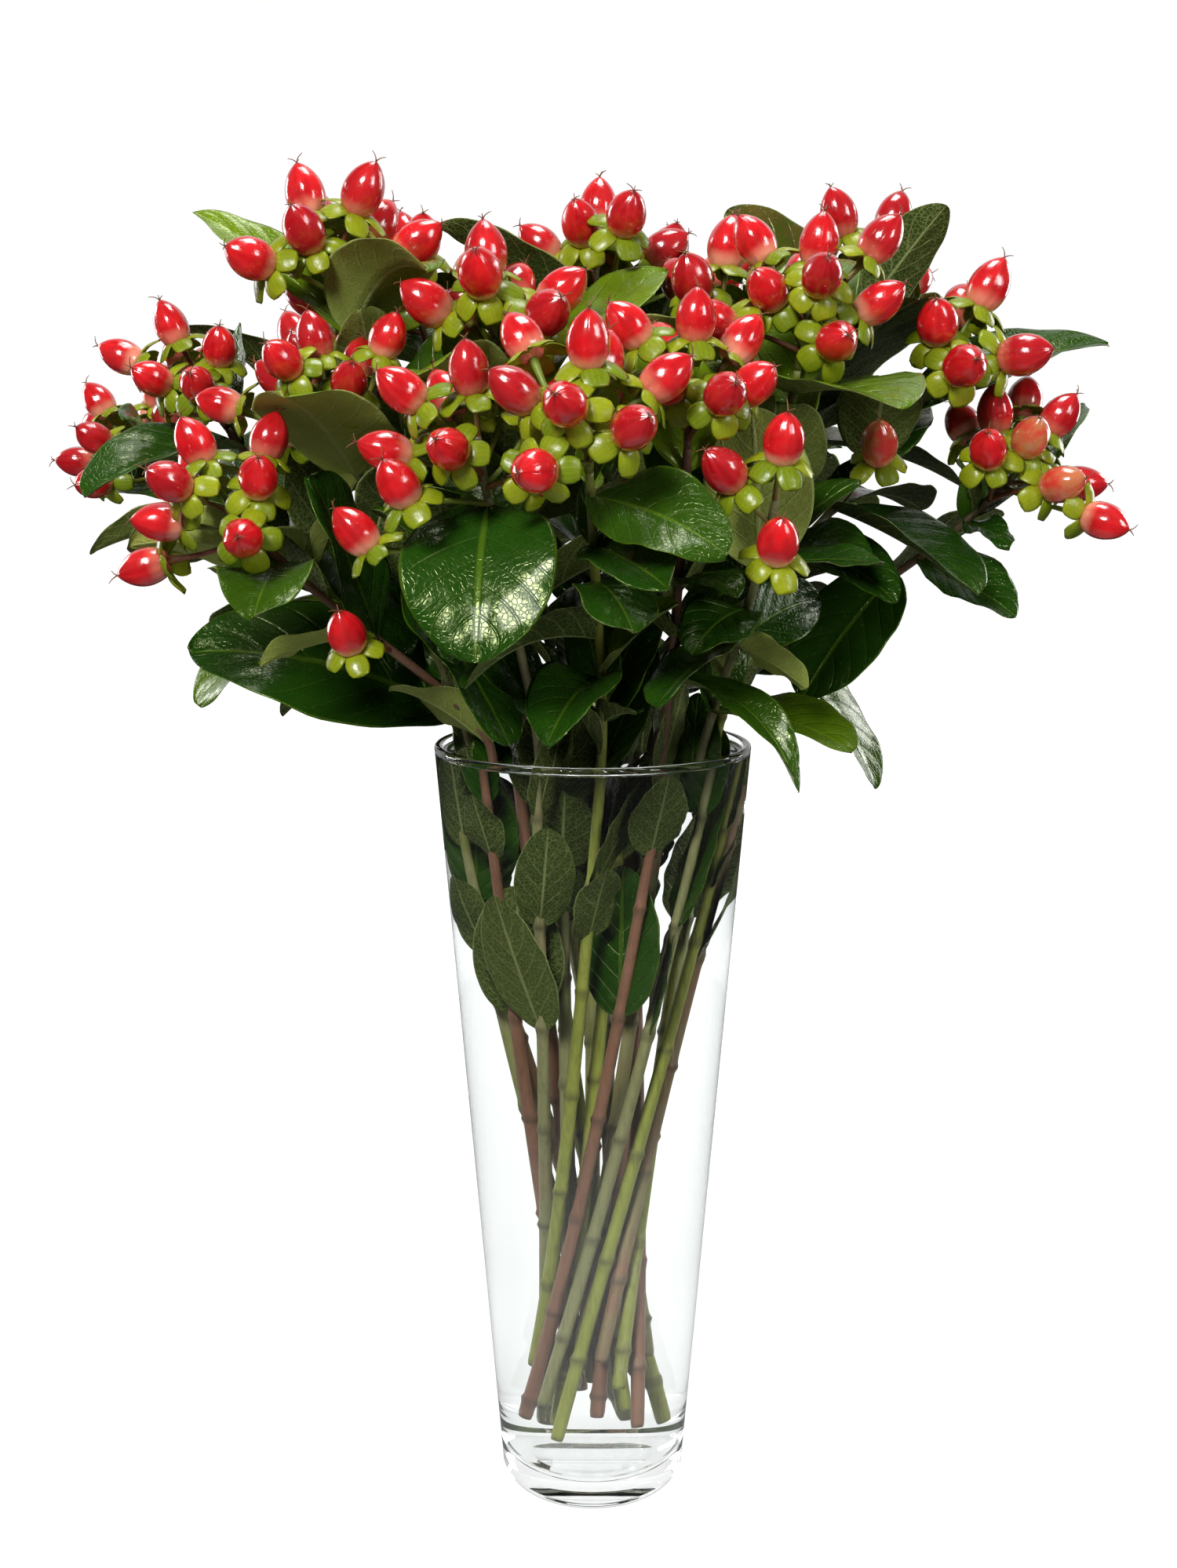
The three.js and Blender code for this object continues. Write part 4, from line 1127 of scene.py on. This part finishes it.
def bark_look(name):
    look = Look(name, Specular_IOR_Level=0.5)
    _, node, cut = look.parts("mark")
    kind, _, _ = look.parts("tone")
    streak = look.noise(900.0, 3.0, 0.6, stretch=(1, 1, 0.06))
    patch = look.noise(60.0, 3.0, 0.6)
    green = look.blend(patch, (0.120, 0.140, 0.020), (0.240, 0.262, 0.048))
    grey = look.blend(patch, (0.120, 0.122, 0.045), (0.210, 0.214, 0.095))
    red = look.blend(patch, (0.105, 0.046, 0.026), (0.190, 0.098, 0.056))
    colour = look.blend(look.step(look.times_plus(patch, 0.25, kind), 0.35, 0.5), green, grey)
    colour = look.blend(look.step(look.times_plus(patch, 0.35, kind), 0.72, 0.95), colour, red)
    # Painted light: below the water line the stems' colour is brightened 1.65 times, standing in
    # for the light that reaches them through the glass and water.
    _, _, high = look.split(look.place())
    wet = look.step(high, 0.284, 0.296, 1.0, 0.0)
    painted_underwater_light = look.blend(1.0, colour, (1.65, 1.65, 1.7), "MULTIPLY")
    colour = look.blend(wet, colour, painted_underwater_light)
    stripe = look.times(look.step(streak, 0.45, 0.7), 0.3)
    colour = look.blend(stripe, colour, (0.060, 0.044, 0.020))
    colour = look.blend(look.times(node, 0.7), colour, (0.045, 0.030, 0.014))
    colour = look.blend(cut, colour, (0.420, 0.330, 0.150))
    look.colour(colour)
    look.roughness(look.step(streak, 0.3, 0.7, 0.3, 0.55))
    look.bump(streak, 0.6, 0.0004)
    return look.material


def berry_look():
    look = Look("ripe_berry", Specular_IOR_Level=0.6, Coat_Weight=0.7, Coat_Roughness=0.06)
    u, groove, streaks = look.parts("mark")
    ripe, other, _ = look.parts("tone")
    patch = look.noise(160.0, 3.0, 0.55)
    fine = look.noise(700.0, 3.0, 0.6)
    red = look.blend(look.step(patch, 0.3, 0.7), (0.450, 0.002, 0.006), (0.700, 0.006, 0.010))
    deep = look.times(look.step(other, 0.45, 1.0), 0.65)
    red = look.blend(deep, red, (0.230, 0.001, 0.006))
    red = look.blend(look.times(streaks, 0.3), red, (0.820, 0.050, 0.050))
    line = look.times_plus(patch, 0.22, u)
    foot = look.step(line, 0.26, 0.50, 1.0, 0.0)
    foot = look.times(foot, look.step(other, 0.0, 0.9, 1.0, 0.35))
    red = look.blend(look.times(foot, 0.85), red, (0.880, 0.370, 0.240))
    # Painted shade: the berry is made darker along its three grooves.
    red = look.blend(look.times(groove, 0.25), red, (0.300, 0.002, 0.004))
    tip = look.step(u, 0.93, 1.0)
    red = look.blend(look.times(tip, 0.6), red, (0.120, 0.010, 0.006))
    raw = look.blend(look.step(patch, 0.35, 0.65), (0.560, 0.380, 0.130), (0.620, 0.090, 0.050))
    look.colour(look.blend(ripe, raw, red))
    look.roughness(look.step(fine, 0.3, 0.7, 0.12, 0.24))
    height = look.times_plus(patch, 0.6, look.times(fine, 0.25))
    look.bump(look.times_plus(streaks, 0.9, height), 0.4, 0.0006)
    return look.material


def sepal_look():
    look = Look("calyx", Specular_IOR_Level=0.4)
    t, a, _ = look.parts("mark")
    kind, _, _ = look.parts("tone")
    patch = look.noise(200.0, 3.0, 0.6)
    fine = look.noise(900.0, 2.0)
    colour = look.blend(patch, (0.140, 0.190, 0.003), (0.340, 0.375, 0.010))
    colour = look.blend(look.step(kind, 0.2, 1.0, 0.0, 0.6), colour, (0.075, 0.150, 0.004))
    veins = look.off_line(look.times(a, 2.5))
    colour = look.blend(look.step(veins, 0.0, 0.12, 0.25, 0.0), colour, (0.400, 0.470, 0.050))
    look.colour(colour)
    look.roughness(look.step(fine, 0.3, 0.7, 0.22, 0.38))
    look.bump(fine, 0.3, 0.0003)
    return look.material


def pedicel_look():
    look = Look("pedicel", Specular_IOR_Level=0.4)
    s, _, _ = look.parts("mark")
    kind, _, _ = look.parts("tone")
    patch = look.noise(250.0, 3.0, 0.6)
    green = look.blend(patch, (0.120, 0.190, 0.020), (0.240, 0.300, 0.045))
    red = look.blend(patch, (0.140, 0.035, 0.020), (0.260, 0.090, 0.035))
    look.colour(look.blend(look.step(look.times_plus(s, -0.4, kind), 0.1, 0.7), green, red))
    look.roughness(look.step(patch, 0.3, 0.7, 0.32, 0.5))
    look.bump(look.noise(900.0), 0.3, 0.0003)
    return look.material


def style_look():
    look = Look("style", Specular_IOR_Level=0.3)
    patch = look.noise(400.0)
    look.colour(look.blend(patch, (0.090, 0.022, 0.012), (0.280, 0.110, 0.045)))
    look.roughness(look.step(patch, 0.3, 0.7, 0.45, 0.65))
    return look.material


def clear_look(name, ior, colour):
    look = Look(
        name, IOR=ior, Transmission_Weight=1.0, Roughness=0.0, Base_Color=(*colour, 1.0),
        Specular_Tint=(0.9, 0.9, 0.9, 1.0),
    )
    ripple = look.noise(9.0, 1.0, 0.4, stretch=(1, 1, 0.35))
    look.bump(ripple, 0.12, 0.002)
    return look.material


# ------------------------------------------------------------ the piece
stems = plant()
STEM_LOOKS = [leaf_look("leaf_upper", True), leaf_look("leaf_under", False), bark_look("bark")]
SPRAY_LOOKS = [berry_look(), sepal_look(), pedicel_look(), style_look(), bark_look("twig")]
UNRIPE = {(21, 5): 0.5, (21, 3): 0.6}  # how ripe two of the fruits are, by stem and fruit

for i, stem in enumerate(stems):
    number = f"{i + 1:02d}"
    line = stem["line"]
    draw = draws(STEM_SEED + 53 * i)
    kind = (0.31 + 0.618 * i) % 1
    greens = Sheaf()
    bark(greens, line, kind, SPRAY_LENGTH, line.foot_down, BARK)
    for leaf in stem["leaves"]:
        blade(greens, leaf)
    greens.made(f"foliage_{number}", STEM_LOOKS, "foliage", f"stem_{number}")
    reds = Sheaf()
    bark(reds, line, kind, 0.0, SPRAY_LENGTH, TWIG)
    for k, fruit in enumerate(stem["fruits"]):
        ripe = 1.0 if draw() < 0.97 else mix(0.2, 0.7, draw())
        ripe = UNRIPE.get((i + 1, k), fruit.get("ripe", ripe))
        pedicel(reds, fruit)
        sepals(reds, fruit)
        berry(reds, fruit, ripe)
    reds.made(f"fruit_{number}", SPRAY_LOOKS, "fruit", f"berries_{number}")


def inner(z):
    return wall_radius(z) - VASE_WALL


GLASS_IOR, WATER_IOR = 1.47, 1.33
# Outlines as radius and height: the foot's rounded edge, and the bottom of the inside from its
# middle out to the wall.
FOOT_EDGE = [(26, 0.35), (28.5, 0.0), (31.0, 0.0), (33.6, 0.9), (35.4, 2.6), (wall_radius(5), 5)]
BOWL = [(5, 10.1), (14, 10.3), (25, 10.9), (30.4, 12.2), (inner(16), 15.4), (inner(20), 20)]

vase_profile = (
    [(0, 1.4), (12, 1.3), (22, 0.9)]
    + curve(FOOT_EDGE, 5)
    + [(wall_radius(z), z) for z in np.linspace(9, 294, 24)]
    + arc((58.43, 298.5), 1.5, -10, 190, 14)
    + [(inner(z), z) for z in np.linspace(294, 24, 22)]
    + curve(BOWL[::-1], 4)
    + [(0, BOWL[0][1])]
)
glass = clear_look("clear_glass", GLASS_IOR, (0.985, 0.995, 0.99))
vase = lathe("vase_glass", vase_profile, glass, "glass", "vase")

WET = 0.05  # the water reaches this far into the glass, so no air shows between the two
skin = [(r, z - WET) for r, z in BOWL[:3]]
skin += [(BOWL[3][0] + WET, BOWL[3][1] - WET)] + [(r + WET, z) for r, z in BOWL[4:]]
water_profile = (
    [(0, skin[0][1])]
    + skin[:2]
    + curve(skin[2:], 4)
    + [(inner(z) + WET, z) for z in np.linspace(24, 296.5, 22)]
    + curve([(inner(297.6) + WET, 297.6), (inner(297) - 0.6, 296.8), (inner(296) - 2, 296.2),
             (inner(296) - 5, WATER_LEVEL)], 4)
    + [(30, WATER_LEVEL), (0, WATER_LEVEL)]
)
still = clear_look("still_water", WATER_IOR, (0.985, 1.0, 0.995))
water = lathe("vase_water", water_profile, still, "water", "water")
for clear in (vase, water):
    clear.visible_shadow = False  # lamps reach what stands behind the glass

# ------------------------------------------------------------ the set
scene = bpy.context.scene

FLOOR_RADIUS, FLOOR_SIDES = 4.0, 64  # metres
FLOOR_DROP = 0.0004  # keeps the floor out of the glass
FLOOR_GLOW = 0.82, 1.05  # near the vase and far from it: burnt out to white for the camera
BEHIND_SHEEN = 0.6  # how much of the white behind the piece its smooth surfaces mirror


def seen_plainly(look, lost):
    """1 on the camera's own rays, also behind the glass, and 0 on all that light bounces by.

    Rays that the clear walls mirrored a single time lose the share given, so that no haze lies
    over what stands in the vase.
    """
    path = look.node("LightPath")
    off = look.math("ABSOLUTE", look.math("SUBTRACT", path.outputs["Glossy Depth"], 1.0))
    single = look.times(look.math("LESS_THAN", off, 0.5), lost)
    direct = look.math("LESS_THAN", path.outputs["Diffuse Depth"], 0.5)
    first = look.times(direct, look.math("SUBTRACT", 1.0, single))
    through = look.times(path.outputs["Is Transmission Ray"], first)
    return look.math("MAXIMUM", path.outputs["Is Camera Ray"], through)


def floor_piece():
    mesh = bpy.data.meshes.new("floor")
    angles = circle(FLOOR_SIDES)
    ring = [(FLOOR_RADIUS * math.cos(x), FLOOR_RADIUS * math.sin(x), 0.0) for x in angles]
    mesh.from_pydata(ring, [], [tuple(range(FLOOR_SIDES))])
    look = Look(
        "floor_paint", Roughness=0.7, Specular_IOR_Level=0.0, Emission_Color=(1, 1, 1, 1)
    )
    paint = look.blend(look.noise(3.0), (0.27, 0.27, 0.27), (0.29, 0.29, 0.29))
    far = look.node("VectorMath", operation="LENGTH")
    look.links.new(look.place(), far.inputs[0])
    away = look.step(far.outputs["Value"], 0.15, 0.4)
    mirrored = look.math("GREATER_THAN", look.node("LightPath").outputs["Glossy Depth"], 0.5)
    look.colour(look.blend(look.times(mirrored, away), paint, (0.03, 0.03, 0.03)))
    glow = look.step(far.outputs["Value"], 0.1, 0.7, *FLOOR_GLOW)
    look.plug(look.times(seen_plainly(look, away), glow), look.shader.inputs["Emission Strength"])
    mesh.materials.append(look.material)
    made = bpy.data.objects.new("floor", mesh)
    made.location.z = -FLOOR_DROP
    scene.collection.objects.link(made)


floor_piece()


class Backdrop(Look):
    """The same helpers on a world's nodes."""

    def __init__(self, world):
        world.use_nodes = True
        self.nodes = world.node_tree.nodes
        self.links = world.node_tree.links


world = bpy.data.worlds.new("studio")
scene.world = world
backdrop = Backdrop(world)
back = backdrop.nodes["Background"]
back.inputs["Color"].default_value = (1, 1, 1, 1)
_, depth, _ = backdrop.split(backdrop.node("TexCoord").outputs["Generated"])
glossy = backdrop.node("LightPath").outputs["Is Glossy Ray"]
behind = backdrop.times(glossy, backdrop.step(depth, 0.2, 0.7, 0.0, BEHIND_SHEEN))
plain = backdrop.math("MAXIMUM", seen_plainly(backdrop, 0.15), behind)
strength = backdrop.step(plain, 0.0, 1.0, 0.08, 1.02)
backdrop.links.new(strength, back.inputs["Strength"])

# Each lamp: where it stands, the height on the axis that it points at, its two sides, its power.
LAMPS = {
    "key": ((-0.45, -1.35, 1.15), 0.38, (0.4, 0.4), 25),
    "fill": ((1.1, -1.0, 0.75), 0.36, (0.35, 0.6), 8),
    "top": ((0.1, 0.1, 1.7), 0.4, (0.6, 0.6), 13),
    "rim_left": ((-1.2, 0.7, 0.6), 0.35, (0.4, 0.9), 9),
    "rim_right": ((1.2, 0.8, 0.6), 0.35, (0.4, 0.9), 9),
}
for name, (at, height, size, power) in LAMPS.items():
    light = bpy.data.lights.new(name, "AREA")
    light.shape = "RECTANGLE"
    light.size, light.size_y = size
    light.energy = power
    lamp = bpy.data.objects.new(name, light)
    lamp.location = at
    aim = Vector((0, 0, height)) - Vector(at)
    lamp.rotation_euler = aim.to_track_quat("-Z", "Y").to_euler()
    scene.collection.objects.link(lamp)

LENS, SENSOR = 39.8, 36  # mm
CAMERA_AT = (-0.0016, -0.650, 0.404)
CAMERA_PITCH = 79.5  # degrees up from straight down

camera_data = bpy.data.cameras.new("camera")
camera_data.lens = LENS
camera_data.sensor_width = SENSOR
camera_data.sensor_fit = "AUTO"
camera = bpy.data.objects.new("camera", camera_data)
camera.location = CAMERA_AT
camera.rotation_euler = (math.radians(CAMERA_PITCH), 0, 0)
scene.collection.objects.link(camera)
scene.camera = camera

scene.view_settings.view_transform = "Standard"
scene.view_settings.look = "None"
CYCLES = {
    "caustics_reflective": False, "caustics_refractive": False, "max_bounces": 26,
    "transmission_bounces": 20, "glossy_bounces": 14, "diffuse_bounces": 2,
    "use_denoising": True,
}
for name, value in CYCLES.items():
    setattr(scene.cycles, name, value)
